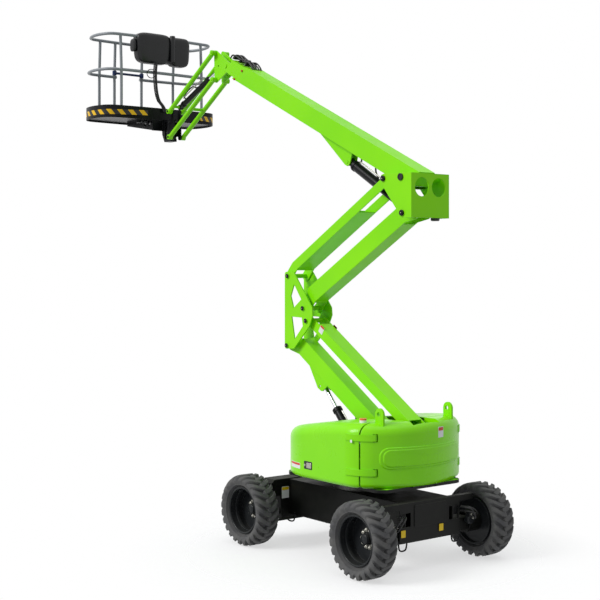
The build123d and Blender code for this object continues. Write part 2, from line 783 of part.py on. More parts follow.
lower_bar = (jib_lower_pin[0] + jib_reach[0] / 2, jib_lower_pin[1] + jib_reach[1] / 2)
finish(jib_tubes(jib_upper_pin, jib_cylinder["pivot"], cylinder_pin), "jib_tubes_upper")
finish(jib_tubes(jib_lower_pin, lower_bar, 20), "jib_tubes_lower")

# Carrier: the level bracket at the jib's foot with the rotator drum
with BuildPart() as jib_carrier:
    for side in (-1, 1):
        with BuildSketch(side_plane(side * (jib_plate_y + jib_plate / 2) + jib_plate / 2)):
            with Locations(carrier_upper_pin, carrier_lower_pin):
                Circle(34)
            make_hull()
            with Locations((rotator_x - 50, 4905)):
                Rectangle(100, 190)
        extrude(amount=jib_plate)
    with BuildSketch(Plane((rotator_x, 0, rotator_levels[0]))):
        Circle(rotator_radius)
    extrude(amount=rotator_levels[1] - rotator_levels[0])
    with BuildSketch(Plane((rotator_x, 0, rotator_levels[0]))):
        Circle(rotator_pin + running_fit)
    extrude(amount=rotator_levels[1] - rotator_levels[0], mode=Mode.SUBTRACT)
    for pin in (carrier_upper_pin, carrier_lower_pin):
        for side in (-1, 1):
            with BuildSketch(side_plane(side * jib_plate_y)):
                with Locations(pin):
                    Circle(jib_pin_radius)
            extrude(amount=-side * (jib_tube_y + jib_tube_radius + 6 - jib_plate_y))
finish(jib_carrier.part, "jib_carrier")


def basket_outline(inset):
    """The basket's plan: bowed sides and ends with round corners."""
    x = basket_half_depth - inset - 40
    y = basket_half_length - inset - 90
    with BuildSketch() as outline:
        with BuildLine():
            ThreePointArc((x, -y), (x + 40, 0), (x, y))
            ThreePointArc((x, y), (0, y + 90), (-x, y))
            ThreePointArc((-x, y), (-x - 40, 0), (-x, -y))
            ThreePointArc((-x, -y), (0, -y - 90), (x, -y))
        make_face()
        fillet(outline.vertices(), 190 - inset)
    return outline.sketch


def bow(y, inset):
    """How far the bowed long side has come in at y."""
    return 40 * (y / (basket_half_length - inset - 90)) ** 2


def ring(inset, z):
    """One bent guard-rail tube round the basket."""
    path = basket_outline(inset).face().outer_wire().moved(Location((basket_x, 0, z)))
    with BuildPart() as shape:
        with BuildSketch(Plane(origin=path @ 0, z_dir=path % 0)):
            Circle(rail_radius)
        sweep(path=path)
    return shape.part


def post_x(side, y, level):
    """Where a post stands at a height: upright to the middle rail, then leaning in to the top.

    The two gate posts lean by the same amount, so that the drop bar slides on both."""
    low = basket_half_depth - mid_inset - bow(y, mid_inset)
    high = basket_half_depth - top_inset - bow(y, top_inset)
    if y in gate_posts:
        high = low - (top_inset - mid_inset)
    lean = max(0, (level - rail_mid) / (rail_top - rail_mid))
    return basket_x + side * (low + (high - low) * lean)


def tube(start, end, radius):
    """A straight round bar between two points."""
    reach = Vector(*end) - Vector(*start)
    with BuildPart() as shape:
        with BuildSketch(Plane(origin=start, z_dir=reach)):
            Circle(radius)
        extrude(amount=reach.length)
    return shape.part


# Basket floor and toe tray, on the arm that the rotator turns
with BuildPart() as basket_floor:
    with BuildSketch(Plane((basket_x, 0, tray_bottom))):
        add(basket_outline(0))
    extrude(amount=tray_top - tray_bottom)
    with BuildSketch(Plane((basket_x, 0, floor_top))):
        add(basket_outline(tray_skin))
    extrude(amount=tray_top - floor_top, mode=Mode.SUBTRACT)
    with BuildSketch(Plane((basket_x, 0, tray_bottom))):
        add(basket_outline(tray_skin))
    extrude(amount=floor_top - tray_skin - tray_bottom, mode=Mode.SUBTRACT)
    for side in (-1, 1):
        with BuildSketch(side_plane(side * 200 + 5)):
            Polygon((4050, 4900), (4050, tray_bottom + 2), (4080, floor_top - 4),
                    (4720, floor_top - 4), (4720, 5010), align=None)
            with Locations((4130, 4985), (4240, 4990)):
                Circle(26, mode=Mode.SUBTRACT)
        extrude(amount=10)
    with BuildSketch(Plane.YZ.offset(4050)):
        with Locations((0, (4900 + tray_bottom) / 2)):
            Rectangle(410, tray_bottom - 4896)
    extrude(amount=12)
    with BuildSketch(side_plane()):
        upper = rotator_levels[1] + seat_gap
        lower = rotator_levels[0] - seat_gap
        Polygon((3850, upper), (3985, upper), (3985, lower), (3850, lower), (3850, lower - 34),
                (4000, lower - 34), (4056, 4850), (4068, tray_bottom + 6), (3850, tray_bottom),
                align=None)
    extrude(amount=50, both=True)
    with BuildSketch(Plane((rotator_x, 0, lower - 20))):
        Circle(rotator_pin)
    extrude(amount=upper - lower + 30)
finish(basket_floor.part, "basket_floor")

# Guard rails: posts at their places along the two long sides
post_spots = ((1, 618), (1, gate_posts[0]), (1, gate_posts[1]), (1, -560), (-1, 640), (-1, -620))
with BuildPart() as basket_rails:
    add(ring(top_inset, rail_top))
    add(ring(mid_inset, rail_mid))
    with BuildSketch(Plane((basket_x + 350, sum(gate_posts) / 2, rail_mid - 60))):
        Rectangle(120, gate_posts[0] - gate_posts[1] - 2 * gate_end)
    extrude(amount=120, mode=Mode.SUBTRACT)
    for side, y in post_spots:
        foot = (post_x(side, y, floor_top), y, floor_top)
        knee = (post_x(side, y, rail_mid), y, rail_mid)
        head = (post_x(side, y, rail_top), y, rail_top)
        add(tube(foot, knee, post_radius))
        add(tube(knee, head, post_radius))
finish(basket_rails.part, "basket_rails")

# Control console under its cover on the rail next to the jib
with BuildPart() as control_console:
    with BuildSketch(Plane((4150, 50, 5760))):
        RectangleRounded(210, 800, 60)
    extrude(amount=440)
    add(basket_rails.part, mode=Mode.SUBTRACT)
    with BuildSketch(Plane((4150, 50, 5755))):
        RectangleRounded(200, 790, 55)
    extrude(amount=330, mode=Mode.SUBTRACT)
finish(control_console.part, "control_console")

# Drop bar that closes the entry between two posts
with BuildPart() as gate_bar:
    for y in gate_posts:
        low = (post_x(1, y, gate_level - 30), y, gate_level - 30)
        high = (post_x(1, y, gate_level + 30), y, gate_level + 30)
        add(tube(low, high, post_radius + 10))
    ends = [(post_x(1, y, gate_level) - 4, y, gate_level) for y in gate_posts]
    add(tube(ends[0], ends[1], 16))
    for y in gate_posts:
        low = (post_x(1, y, gate_level - 55), y, gate_level - 55)
        high = (post_x(1, y, gate_level + 60), y, gate_level + 60)
        add(tube(low, high, post_radius + running_fit), mode=Mode.SUBTRACT)
finish(gate_bar.part, "gate_bar")
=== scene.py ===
# %% [markdown]
# # An articulating boom lift, dressed around its CAD frame
# The machine is a four-wheel chassis with a slewing turret, a folding riser, a telescopic boom, a
# short jib and a work basket. Its steelwork comes from CAD as a fixed frame with real joints.
# This file gives every surface its finish and adds what only shows close up: lugged tyres, hoses,
# the moulded console cover, fasteners, blank labels and tape. Lengths are in metres.

import bmesh
import bpy
import numpy as np
from mathutils import Matrix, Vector
from mathutils.geometry import convex_hull_2d


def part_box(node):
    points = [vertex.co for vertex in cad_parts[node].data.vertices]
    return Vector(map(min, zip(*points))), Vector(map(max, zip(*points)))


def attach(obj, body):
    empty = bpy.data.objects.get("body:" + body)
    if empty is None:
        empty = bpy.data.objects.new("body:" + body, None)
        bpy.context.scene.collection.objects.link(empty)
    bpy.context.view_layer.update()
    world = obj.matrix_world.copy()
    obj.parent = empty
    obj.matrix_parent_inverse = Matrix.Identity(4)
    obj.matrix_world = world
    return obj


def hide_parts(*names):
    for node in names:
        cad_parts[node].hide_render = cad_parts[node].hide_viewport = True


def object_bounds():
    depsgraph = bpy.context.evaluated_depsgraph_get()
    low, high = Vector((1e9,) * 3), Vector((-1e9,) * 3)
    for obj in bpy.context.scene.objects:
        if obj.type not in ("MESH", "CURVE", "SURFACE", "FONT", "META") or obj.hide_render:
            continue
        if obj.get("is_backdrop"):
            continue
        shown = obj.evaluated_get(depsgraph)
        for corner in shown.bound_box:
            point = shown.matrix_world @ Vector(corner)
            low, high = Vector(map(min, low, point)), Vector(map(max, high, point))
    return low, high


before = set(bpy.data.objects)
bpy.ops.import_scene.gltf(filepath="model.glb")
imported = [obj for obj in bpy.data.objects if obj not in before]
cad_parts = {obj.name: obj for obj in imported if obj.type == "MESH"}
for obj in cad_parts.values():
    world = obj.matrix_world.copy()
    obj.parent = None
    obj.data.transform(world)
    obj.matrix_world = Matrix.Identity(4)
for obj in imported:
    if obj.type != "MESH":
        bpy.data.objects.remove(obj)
cad_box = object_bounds()
print("CAD nodes:", len(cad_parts), "box:", cad_box)

# %% [markdown]
# ## Small helpers
# Blender works in linear light, while paint charts and photographs give sRGB, so one function
# turns a hex colour. One more adds a node with its settings and links. A few short recipes built
# from it serve several finishes: layers of colour, cloudy blotches, a grain that only tilts the
# surface, and a change with height.


# %% Colours, nodes and shared patterns
def linear(hex_colour):
    """sRGB hex to linear RGBA: c / 12.92 below 0.04045, and ((c + 0.055) / 1.055) ^ 2.4 above."""
    c = np.array([int(hex_colour[i : i + 2], 16) for i in (0, 2, 4)]) / 255
    c = np.where(c <= 0.04045, c / 12.92, ((c + 0.055) / 1.055) ** 2.4)
    return (*c.tolist(), 1.0)


def add(tree, kind, inputs=None, out=None, **settings):
    """One node. Each input gets a value, or a link if the value is another node's output.

    Returns the output that out names, or the node itself."""
    made = tree.nodes.new(kind)
    for name, value in settings.items():
        setattr(made, name, value)
    for name, value in (inputs or {}).items():
        if isinstance(value, bpy.types.NodeSocket):
            tree.links.new(value, made.inputs[name])
        else:
            made.inputs[name].default_value = value
    return made if out is None else made.outputs[out]


# Sockets of the Mix node when it mixes colours
FACTOR, COLOUR_A, COLOUR_B, MIXED = 0, 6, 7, 2


def layered(tree, colour, *layers):
    """Colours over each other: each (mask, colour) covers what is below it where its mask is 1."""
    tone = linear(colour)
    for mask, over in layers:
        tones = {FACTOR: mask, COLOUR_A: tone, COLOUR_B: linear(over)}
        tone = add(tree, "ShaderNodeMix", tones, MIXED, data_type="RGBA")
    return tone


def per_metre(size_mm):
    """Pattern scale for a detail of that real size: details per metre."""
    return 1000 / size_mm


def blotches(tree, place, size_mm, detail, low, high, to_low=0.0, to_high=1.0):
    """Cloudy mask: noise of that blotch size, of which low to high becomes to_low to to_high."""
    spots = {"Vector": place, "Scale": per_metre(size_mm), "Detail": detail}
    value = add(tree, "ShaderNodeTexNoise", spots, "Fac")
    span = {"Value": value, "From Min": low, "From Max": high, "To Min": to_low, "To Max": to_high}
    return add(tree, "ShaderNodeMapRange", span, "Result")


def grained(tree, place, size_mm, detail, strength, depth, under=None):
    """Normal of a grained face: noise of that grain size is the height of a bump on under."""
    spots = {"Vector": place, "Scale": per_metre(size_mm), "Detail": detail}
    bump = {"Height": add(tree, "ShaderNodeTexNoise", spots, "Fac"), "Strength": strength, "Distance": depth}
    return add(tree, "ShaderNodeBump", bump | ({"Normal": under} if under else {}), "Normal")


def z_mask(tree, vector, low, high, least=0.0):
    """Mask that goes from least to 1 while the vector's z goes from low to high."""
    z = add(tree, "ShaderNodeSeparateXYZ", {0: vector}, "Z")
    span = {"Value": z, "From Min": low, "From Max": high, "To Min": least}
    return add(tree, "ShaderNodeMapRange", span, "Result")


def new_finish(name):
    """A new material, its emptied node tree and the Object coordinates."""
    material = bpy.data.materials.new(name)
    material.use_nodes = True
    material.node_tree.nodes.clear()
    return material, material.node_tree, add(material.node_tree, "ShaderNodeTexCoord", out="Object")


def surfaced(material, inputs):
    """The material, closed with one Principled shader that takes these values and links."""
    shader = add(material.node_tree, "ShaderNodeBsdfPrincipled", inputs, "BSDF")
    add(material.node_tree, "ShaderNodeOutputMaterial", {"Surface": shader})
    return material


print("mid grey 808080 is", round(linear("808080")[0], 3), "in linear light")

# %% [markdown]
# ## Powder coat
# The booms, links and covers are powder coated: dry paint, sprayed on and baked. It flows into an
# even film with a faint orange peel, rounds over plate edges and fades a little in the sun. To the
# eye that is a broad soft shine that never mirrors. The Bevel node lends the sharp CAD edges that
# rounding, and where its normal departs from the flat one there is an edge, which is where the
# film thins and picks up scuffs.

# %% Painted steel
EDGE_MM = 5
EDGE_STARTS, EDGE_FULL = 0.99, 0.80  # the two normals' dot product where an edge starts, and on it
CLOUD_MM, PATCH_MM, SMEAR_MM = 900, 60, 140
PEEL_MM, PEEL_DEPTH = 12, 0.002  # real orange peel is 2 to 4 mm across, drawn coarser to show
EDGE_WEAR = 0.45  # most of the scuffed tone that an edge shows
PAINT_SPECULAR, COAT_ROUGHNESS = 0.22, 0.12
MASK_HALF = 0.001  # half the width of the line where one finish ends and the next begins


def rounded_edges(tree):
    """The Bevel node's normal, and a mask that is 1 where it leaves the face's own normal."""
    soft = add(tree, "ShaderNodeBevel", {"Radius": EDGE_MM / 1000}, "Normal", samples=4)
    flat = add(tree, "ShaderNodeNewGeometry", out="Normal")
    same = add(tree, "ShaderNodeVectorMath", {0: soft, 1: flat}, "Value", operation="DOT_PRODUCT")
    span = {"Value": same, "From Min": EDGE_STARTS, "From Max": EDGE_FULL}
    return soft, add(tree, "ShaderNodeMapRange", span, "Result")


def paint(name, colour, faded, scuff, roughness, peel=0.10, coat=0.0, below=None):
    """Sprayed paint: two near tones in metre-wide clouds, scuffed edges and orange peel.

    below is a colour and the height under which it replaces the paint, as on the turret's bed."""
    material, tree, place = new_finish(name)
    soft, edge = rounded_edges(tree)
    clouds = blotches(tree, place, CLOUD_MM, 3, 0.35, 0.65)
    patchy = blotches(tree, place, PATCH_MM, 4, 0.45, 0.75, 0, EDGE_WEAR)
    worn = add(tree, "ShaderNodeMath", {0: edge, 1: patchy}, 0, operation="MULTIPLY")
    layers = [(clouds, faded), (worn, scuff)]
    if below:
        layers.append((z_mask(tree, place, below[1] + MASK_HALF, below[1] - MASK_HALF), below[0]))
    rough = blotches(tree, place, SMEAR_MM, 4, 0.3, 0.7, roughness - 0.05, roughness + 0.07)
    peeled = grained(tree, place, PEEL_MM, 2, peel, PEEL_DEPTH, soft)
    return surfaced(material, {"Base Color": layered(tree, colour, *layers), "Roughness": rough,
                               "Normal": peeled, "Coat Weight": coat, "Coat Roughness": COAT_ROUGHNESS,
                               "Specular IOR Level": PAINT_SPECULAR})


TURRET_BED_TOP = 0.8405
lime_powder_coat = paint("lime_powder_coat", "80DD00", "8AE400", "A9EC5A", 0.40)
# The covers are moulded and sprayed in a mould-smooth gloss, so they shine more than the steel
lime_moulding_paint = paint("lime_moulding_paint", "80DC00", "8AE300", "9BE84A", 0.30, 0.05, 0.14)
turret_bed_paint = paint("turret_bed_paint", "80DD00", "8AE400", "A9EC5A", 0.42,
                         below=("0B0C0C", TURRET_BED_TOP))
gate_blue_enamel = paint("gate_blue_enamel", "1B2B52", "22335C", "51628C", 0.40)
rail_grey_enamel = paint("rail_grey_enamel", "8E9295", "989C9F", "BFC2C4", 0.33)
print("paints:", [m.name for m in bpy.data.materials if m.name.endswith(("coat", "paint", "enamel"))])

# %% [markdown]
# ## Chassis enamel
# Chassis, axles and rims are brushed or sprayed with black alkyd enamel. Outdoors it gathers dust on
# every face that looks up, which is why the deck behind the turret reads olive and not black.
# Geometry's normal gives how far a face looks up, and a noise breaks that up into drifts.

# %% Dusty black enamel
DRIFT_MM = 110
BRUSHED_MM, BRUSHED_DEPTH = 9, 0.001  # real brush marks are under 1 mm, drawn coarser to show
EDGE_RUBBED, RUBBED_GREY = 0.35, "5A5C5C"
DUSTY_ROUGHNESS = 0.75
ENAMEL_SPECULAR = 0.15


def dusty_enamel(name, colour, dust, roughness, dusting):
    """Black enamel; dust is strongest where the normal points up, broken up by drifts."""
    material, tree, place = new_finish(name)
    soft, edge = rounded_edges(tree)
    lies = z_mask(tree, add(tree, "ShaderNodeNewGeometry", out="Normal"), 0.2, 0.9, 0.15)
    drifts = blotches(tree, place, DRIFT_MM, 5, 0.30, 0.75, 0.3 * dusting, dusting)
    dusted = add(tree, "ShaderNodeMath", {0: lies, 1: drifts}, 0, operation="MULTIPLY")
    rubbed = add(tree, "ShaderNodeMath", {0: edge, 1: EDGE_RUBBED}, 0, operation="MULTIPLY")
    rough = {"Value": dusted, "From Max": 0.6, "To Min": roughness, "To Max": DUSTY_ROUGHNESS}
    rough = add(tree, "ShaderNodeMapRange", rough, "Result")
    tone = layered(tree, colour, (rubbed, RUBBED_GREY), (dusted, dust))
    brushed = grained(tree, place, BRUSHED_MM, 3, 0.12, BRUSHED_DEPTH, soft)
    return surfaced(material, {"Base Color": tone, "Roughness": rough, "Normal": brushed,
                               "Specular IOR Level": ENAMEL_SPECULAR})


chassis_enamel = dusty_enamel("chassis_enamel", "040505", "43443A", 0.40, 0.60)
tray_enamel = dusty_enamel("tray_enamel", "090A0C", "343533", 0.34, 0.25)
rim_enamel = dusty_enamel("rim_enamel", "222426", "45453F", 0.22, 0.40)
cylinder_enamel = dusty_enamel("cylinder_enamel", "0C0D0F", "26272A", 0.26, 0.15)
print("chassis black in linear light:", [round(c, 4) for c in linear("040505")[:3]])

# %% [markdown]
# ## Bare metals
# Cylinder rods are hard chrome, ground round and polished, so they mirror the sky in one long line.
# Fasteners are zinc plated, which is duller and slightly warm. The exhaust is mild steel that heat
# has browned, and the engine is rough cast iron. A metal's colour is its reflection, so the base
# colour stays pale and the roughness does the talking. Real zinc crystals and casting sand are
# under 1 mm, too fine for this view, so their grain is drawn about ten times as coarse.


# %% Metals
def bare_metal(name, colour, stained, roughness, spread, grain_mm):
    """Metal in two near tones; a noise of the grain's size moves colour and roughness."""
    material, tree, place = new_finish(name)
    tone = layered(tree, colour, (blotches(tree, place, grain_mm, 4, 0.35, 0.7), stained))
    rough = blotches(tree, place, grain_mm, 4, 0.3, 0.7, roughness - spread, roughness + spread)
    bumpy = grained(tree, place, grain_mm, 4, 0.08, 0.001)
    return surfaced(material, {"Metallic": 1.0, "Base Color": tone, "Roughness": rough, "Normal": bumpy})


hard_chrome = bare_metal("hard_chrome", "D9DCE0", "C9CDD3", 0.13, 0.04, 40)
zinc_plate = bare_metal("zinc_plate", "B9B8B0", "97958B", 0.38, 0.08, 6)
ring_steel = bare_metal("ring_steel", "5B5C5C", "45443F", 0.45, 0.10, 15)
exhaust_steel = bare_metal("exhaust_steel", "4A4643", "2B2827", 0.52, 0.10, 30)
engine_iron = bare_metal("engine_iron", "4C4E50", "36383A", 0.60, 0.08, 5)
print("metals:", [m.name for m in (hard_chrome, zinc_plate, ring_steel, exhaust_steel, engine_iron)])

# %% [markdown]
# ## Rubber and plastics
# Tyre rubber is moulded and matt, and it turns grey as it wears and dusts over. Hoses are smooth
# rubber with a faint texture from the cloth wrap they are cured in. The console cover is moulded
# polyethylene with a spark-eroded grain, which spreads its shine into a soft patch. Labels are
# smooth vinyl. All are dielectrics, so only roughness and bump differ. Their real grain is 0.3 to
# 1 mm across, and it is drawn 6 to 8 mm wide so that it shows in a view of the whole machine.

# %% Rubber and plastics
WEAR_MM, GRAIN_DEPTH, PLASTIC_SPECULAR = 120, 0.0015, 0.35


def moulded(name, colour, worn, roughness, grain_mm, grain):
    """Moulded rubber or plastic: worn tone in blotches, and a grain that is all bump."""
    material, tree, place = new_finish(name)
    tone = layered(tree, colour, (blotches(tree, place, WEAR_MM, 5, 0.35, 0.70), worn))
    bumpy = grained(tree, place, grain_mm, 3, grain, GRAIN_DEPTH)
    return surfaced(material, {"Base Color": tone, "Roughness": roughness, "Normal": bumpy,
                               "Specular IOR Level": PLASTIC_SPECULAR})


tyre_rubber = moulded("tyre_rubber", "454546", "575654", 0.72, 7, 0.35)
console_polyethylene = moulded("console_polyethylene", "08090B", "111215", 0.36, 8, 0.30)
hose_rubber = moulded("hose_rubber", "0C0D0E", "191A1B", 0.42, 6, 0.25)
label_white = moulded("label_white_vinyl", "E4E5E2", "DADBD8", 0.35, 20, 0.03)
label_yellow = moulded("label_yellow_vinyl", "E9C50F", "DDB90D", 0.35, 20, 0.03)
label_red = moulded("label_red_vinyl", "D23A1E", "C8371C", 0.35, 20, 0.03)
cap_red = moulded("cap_red_plastic", "B8321F", "A92C1B", 0.40, 20, 0.05)
print("materials so far:", len(bpy.data.materials))

# %% [markdown]
# ## Hazard tape
# The tray wears black and yellow tape. Its slanted stripes are printed, so they run along the tape
# and not through space: the strip carries its own run and height as an attribute, and a stripe is
# where the fraction of run plus slant times height, over the pitch, stays under the yellow share.
# Vinyl tape looks flat and evenly shiny, and rubs through to dark spots about 18 mm wide.

# %% Striped vinyl tape
PITCH, YELLOW_SHARE, SLANT, PRINT_EDGE, RUB_MM = 0.145, 0.47, 0.83, 0.01, 18
hazard_tape, tree, place = new_finish("hazard_tape")
run = add(tree, "ShaderNodeAttribute", out="Vector", attribute_name="run")
way = add(tree, "ShaderNodeVectorMath", {0: run, 1: (1, SLANT, 0)}, "Value", operation="DOT_PRODUCT")
turns = add(tree, "ShaderNodeMath", {0: way, 1: PITCH}, 0, operation="DIVIDE")
part = add(tree, "ShaderNodeMath", {0: turns}, 0, operation="FRACT")
dark = {"Value": part, "From Min": YELLOW_SHARE - PRINT_EDGE, "From Max": YELLOW_SHARE + PRINT_EDGE}
dark = add(tree, "ShaderNodeMapRange", dark, "Result")
rubbed = blotches(tree, place, RUB_MM, 4, 0.62, 0.75, 0, 0.5)
tone = layered(tree, "F0BE0C", (dark, "101112"), (rubbed, "1C1C1A"))
surfaced(hazard_tape, {"Base Color": tone, "Roughness": 0.38, "Specular IOR Level": PLASTIC_SPECULAR})
print("stripe pitch:", PITCH * 1000, "mm")

# %% [markdown]
# ## Beacon
# The flashing light is one CAD node with two finishes: a white base, and over it an orange lens of
# clear-coated polycarbonate, moulded with fine rings that break up its shine. The colour changes at
# a height, and a wave along z, masked to the lens, gives the rings. Real rings are about 3 mm
# apart; they are drawn 60 mm wide, because finer ones vanish in this view.

# %% Orange lens on a white base
RING_MM, LENS_FROM = 60, 0.60  # LENS_FROM: share of the beacon's height at which the lens starts
beacon_low, beacon_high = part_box("beacon")
lens_z = beacon_low[2] + LENS_FROM * (beacon_high[2] - beacon_low[2])
beacon_polycarbonate, tree, place = new_finish("beacon_polycarbonate")
on_lens = z_mask(tree, place, lens_z - MASK_HALF, lens_z + MASK_HALF)
tone = layered(tree, "E8E8E4", (on_lens, "F0640A"))
rings = {"Vector": place, "Scale": per_metre(RING_MM), "Distortion": 0.0}
rings = add(tree, "ShaderNodeTexWave", rings, "Fac", bands_direction="Z")
rings = add(tree, "ShaderNodeMath", {0: rings, 1: on_lens}, 0, operation="MULTIPLY")
ringed = add(tree, "ShaderNodeBump", {"Height": rings, "Strength": 0.4, "Distance": 0.001}, "Normal")
surfaced(beacon_polycarbonate, {"Base Color": tone, "Roughness": 0.22, "Coat Weight": 0.4, "Normal": ringed})
print("beacon lens starts at z", round(lens_z, 3))

# %% [markdown]
# ## Finishes for the CAD nodes
# Each CAD node keeps its mesh and gets its finish through its own material slots. Lime goes on all
# that lifts, black on all that carries, grey on the guard rails.

# %% Give the CAD nodes their finishes
wheels = [(end, side) for end in ("front", "rear") for side in ("left", "right")]
finishes = {
    lime_powder_coat: ["riser_link_a", "riser_link_b", "riser_link_c", "riser_link_d", "elbow",
                       "knuckle", "boom_outer", "boom_inner", "nose_bracket", "jib_tubes_upper",
                       "jib_tubes_lower"],
    lime_moulding_paint: ["cover_left", "cover_right", "counterweight"],
    chassis_enamel: ["chassis_frame", "rear_axle", "front_axle", "steering_knuckle_left",
                     "steering_knuckle_right", "track_rod"],
    turret_bed_paint: ["turret_base"],
    tray_enamel: ["basket_floor", "jib_carrier"],
    rim_enamel: [f"rim_{end}_{side}" for end, side in wheels],
    cylinder_enamel: ["lift_cylinder_barrel", "boom_cylinder_barrel", "jib_cylinder_barrel"],
    hard_chrome: ["lift_cylinder_rod", "boom_cylinder_rod", "jib_cylinder_rod"],
    rail_grey_enamel: ["basket_rails"],
    gate_blue_enamel: ["gate_bar"],
    console_polyethylene: ["control_console"],
    tyre_rubber: [f"tyre_{end}_{side}" for end, side in wheels],
    ring_steel: ["slew_ring"],
    exhaust_steel: ["exhaust_pipe"],
    engine_iron: ["engine_block"],
    beacon_polycarbonate: ["beacon"],
}
for finish, names in finishes.items():
    for name in names:
        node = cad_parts[name]
        node.data.materials.clear()
        node.data.materials.append(finish)
undressed = set(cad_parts) - {name for names in finishes.values() for name in names}
print("nodes without a finish:", sorted(undressed))

# %% [markdown]
# ## Surfaces from arrays
# Every new piece is one or more closed shells. A shell is an array of points and a list of face
# groups, each an array with one row of point numbers per face. A grid of points needs only its
# quads, and a lathe, a pipe and a plate are all such grids. `put` joins shells into one mesh,
# merges doubled points at poles and seams, turns the faces outwards and makes the piece ride on
# its CAD body.


# %% Grids and turned shapes
def quads(rows, columns, close_rows=False, close_columns=False):
    """Quads between neighbouring lines of a grid numbered row by row; a closed way wraps round."""
    i = np.arange(rows if close_rows else rows - 1)[:, None]
    j = np.arange(columns if close_columns else columns - 1)[None, :]
    i_next, j_next = (i + 1) % rows, (j + 1) % columns
    corners = (i * columns + j, i * columns + j_next, i_next * columns + j_next, i_next * columns + j)
    return np.stack(np.broadcast_arrays(*corners), axis=-1).reshape(-1, 4)


def rows_shell(rows):
    """Closed shell of rings (ring, point, xyz): quads between the rings and a cap at each end."""
    count, sides = rows.shape[:2]
    first = np.arange(sides)[None, :]
    return rows.reshape(-1, 3), [quads(count, sides, close_columns=True), first[:, ::-1],
                                 first + (count - 1) * sides]


def unit(v):
    """Vectors scaled to length 1."""
    v = np.asarray(v, float)
    return v / np.linalg.norm(v, axis=-1, keepdims=True)


def lathe(profile, centre, axis=(0, 1, 0), sides=24, closed=False):
    """Surface of revolution: each (along, radius) becomes a ring about the axis through centre.

    point = centre + along * axis + radius * (cos a * u + sin a * v), with u and v square to it."""
    profile, axis = np.asarray(profile, float), unit(axis)
    u = unit(np.cross(axis, (0, 0, 1) if abs(axis[2]) < 0.9 else (1, 0, 0)))
    v = np.cross(axis, u)
    a = np.linspace(0, 2 * np.pi, sides, endpoint=False)[:, None]
    spoke = np.cos(a) * u + np.sin(a) * v
    rings = np.asarray(centre) + profile[:, 0, None, None] * axis + profile[:, 1, None, None] * spoke
    if closed:
        return rings.reshape(-1, 3), [quads(len(profile), sides, close_rows=True, close_columns=True)]
    return rows_shell(rings)


def put(name, shells, finish, body, sharp=35, run=None):
    """One piece from closed shells: doubles merged, faces outwards, smooth but for sharp edges.

    run, if given, holds each point's place along the piece, for a pattern that follows it."""
    starts = np.cumsum([0] + [len(points) for points, _ in shells[:-1]])
    faces = [face for start, (_, groups) in zip(starts, shells) for group in groups
             for face in (group + start).tolist()]
    mesh = bpy.data.meshes.new(name)
    mesh.from_pydata(np.vstack([points for points, _ in shells]).tolist(), [], faces)
    if run is not None:
        kept = mesh.attributes.new("run", "FLOAT_VECTOR", "POINT")
        kept.data.foreach_set("vector", np.asarray(run, np.float32).ravel())
    work = bmesh.new()
    work.from_mesh(mesh)
    bmesh.ops.remove_doubles(work, verts=work.verts, dist=1e-6)
    bmesh.ops.recalc_face_normals(work, faces=work.faces)
    work.to_mesh(mesh)
    work.free()
    mesh.shade_smooth()
    mesh.set_sharp_from_angle(angle=np.radians(sharp))
    mesh.materials.append(finish)
    piece = bpy.data.objects.new(name, mesh)
    bpy.context.scene.collection.objects.link(piece)
    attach(piece, body)
    return piece


print("a grid of 3 by 4 points has", len(quads(3, 4)), "quads")

# %% [markdown]
# ## Lugged tyres
# Rough-terrain tyres have a smooth carcass with two rows of heavy lugs that meet in a chevron. The
# carcass is a lathe shape. A lug could be a bent box, but a real one runs on over the shoulder and
# down the sidewall, so it is a grid: stations run from past the centre line to the sidewall, and a
# six-point cross-section goes round. All lugs of a row are one array, turned in equal steps.

# %% Tyre sizes
WHEEL_X, WHEEL_Y, WHEEL_Z = 0.9565, 0.825, 0.390
LUGS, LUG_STEPS = 24, 13
# The carcass from its bead to the middle of the tread: y from the wheel's middle, then radius
CARCASS = ((0.080, 0.249), (0.084, 0.266), (0.108, 0.279), (0.122, 0.284), (0.121, 0.290), (0.127, 0.299),
           (0.133, 0.316), (0.132, 0.333), (0.124, 0.345), (0.098, 0.353), (0.050, 0.356), (0.0, 0.357))
# Stations of a lug: share of the way, then y and radius of its crest, then y and radius of its foot
STATIONS = np.array(((0.00, -0.020, 0.384, -0.022, 0.350), (0.06, -0.014, 0.3890, -0.017, 0.350),
                     (0.30, 0.035, 0.3895, 0.035, 0.350), (0.55, 0.085, 0.3885, 0.085, 0.346),
                     (0.72, 0.116, 0.3790, 0.112, 0.338), (0.86, 0.139, 0.3580, 0.127, 0.325),
                     (1.00, 0.1420, 0.3300, 0.130, 0.306)))
SWEEP, SHOULDER_Y, SWEEP_POWER = 0.25, 0.145, 1.7  # radians that the shoulder end leads the centre
CREST_HALF, FOOT_HALF, FLANK = 0.0265, 0.0360, 0.86  # FLANK: height share where the crest rounds off
END_SHARE, END_LEAST = 0.07, 0.30  # rounding of the centre end: its share of the lug, least width^2
print("tyre diameter over the lugs:", round(2 * STATIONS[:, 2].max(), 3))


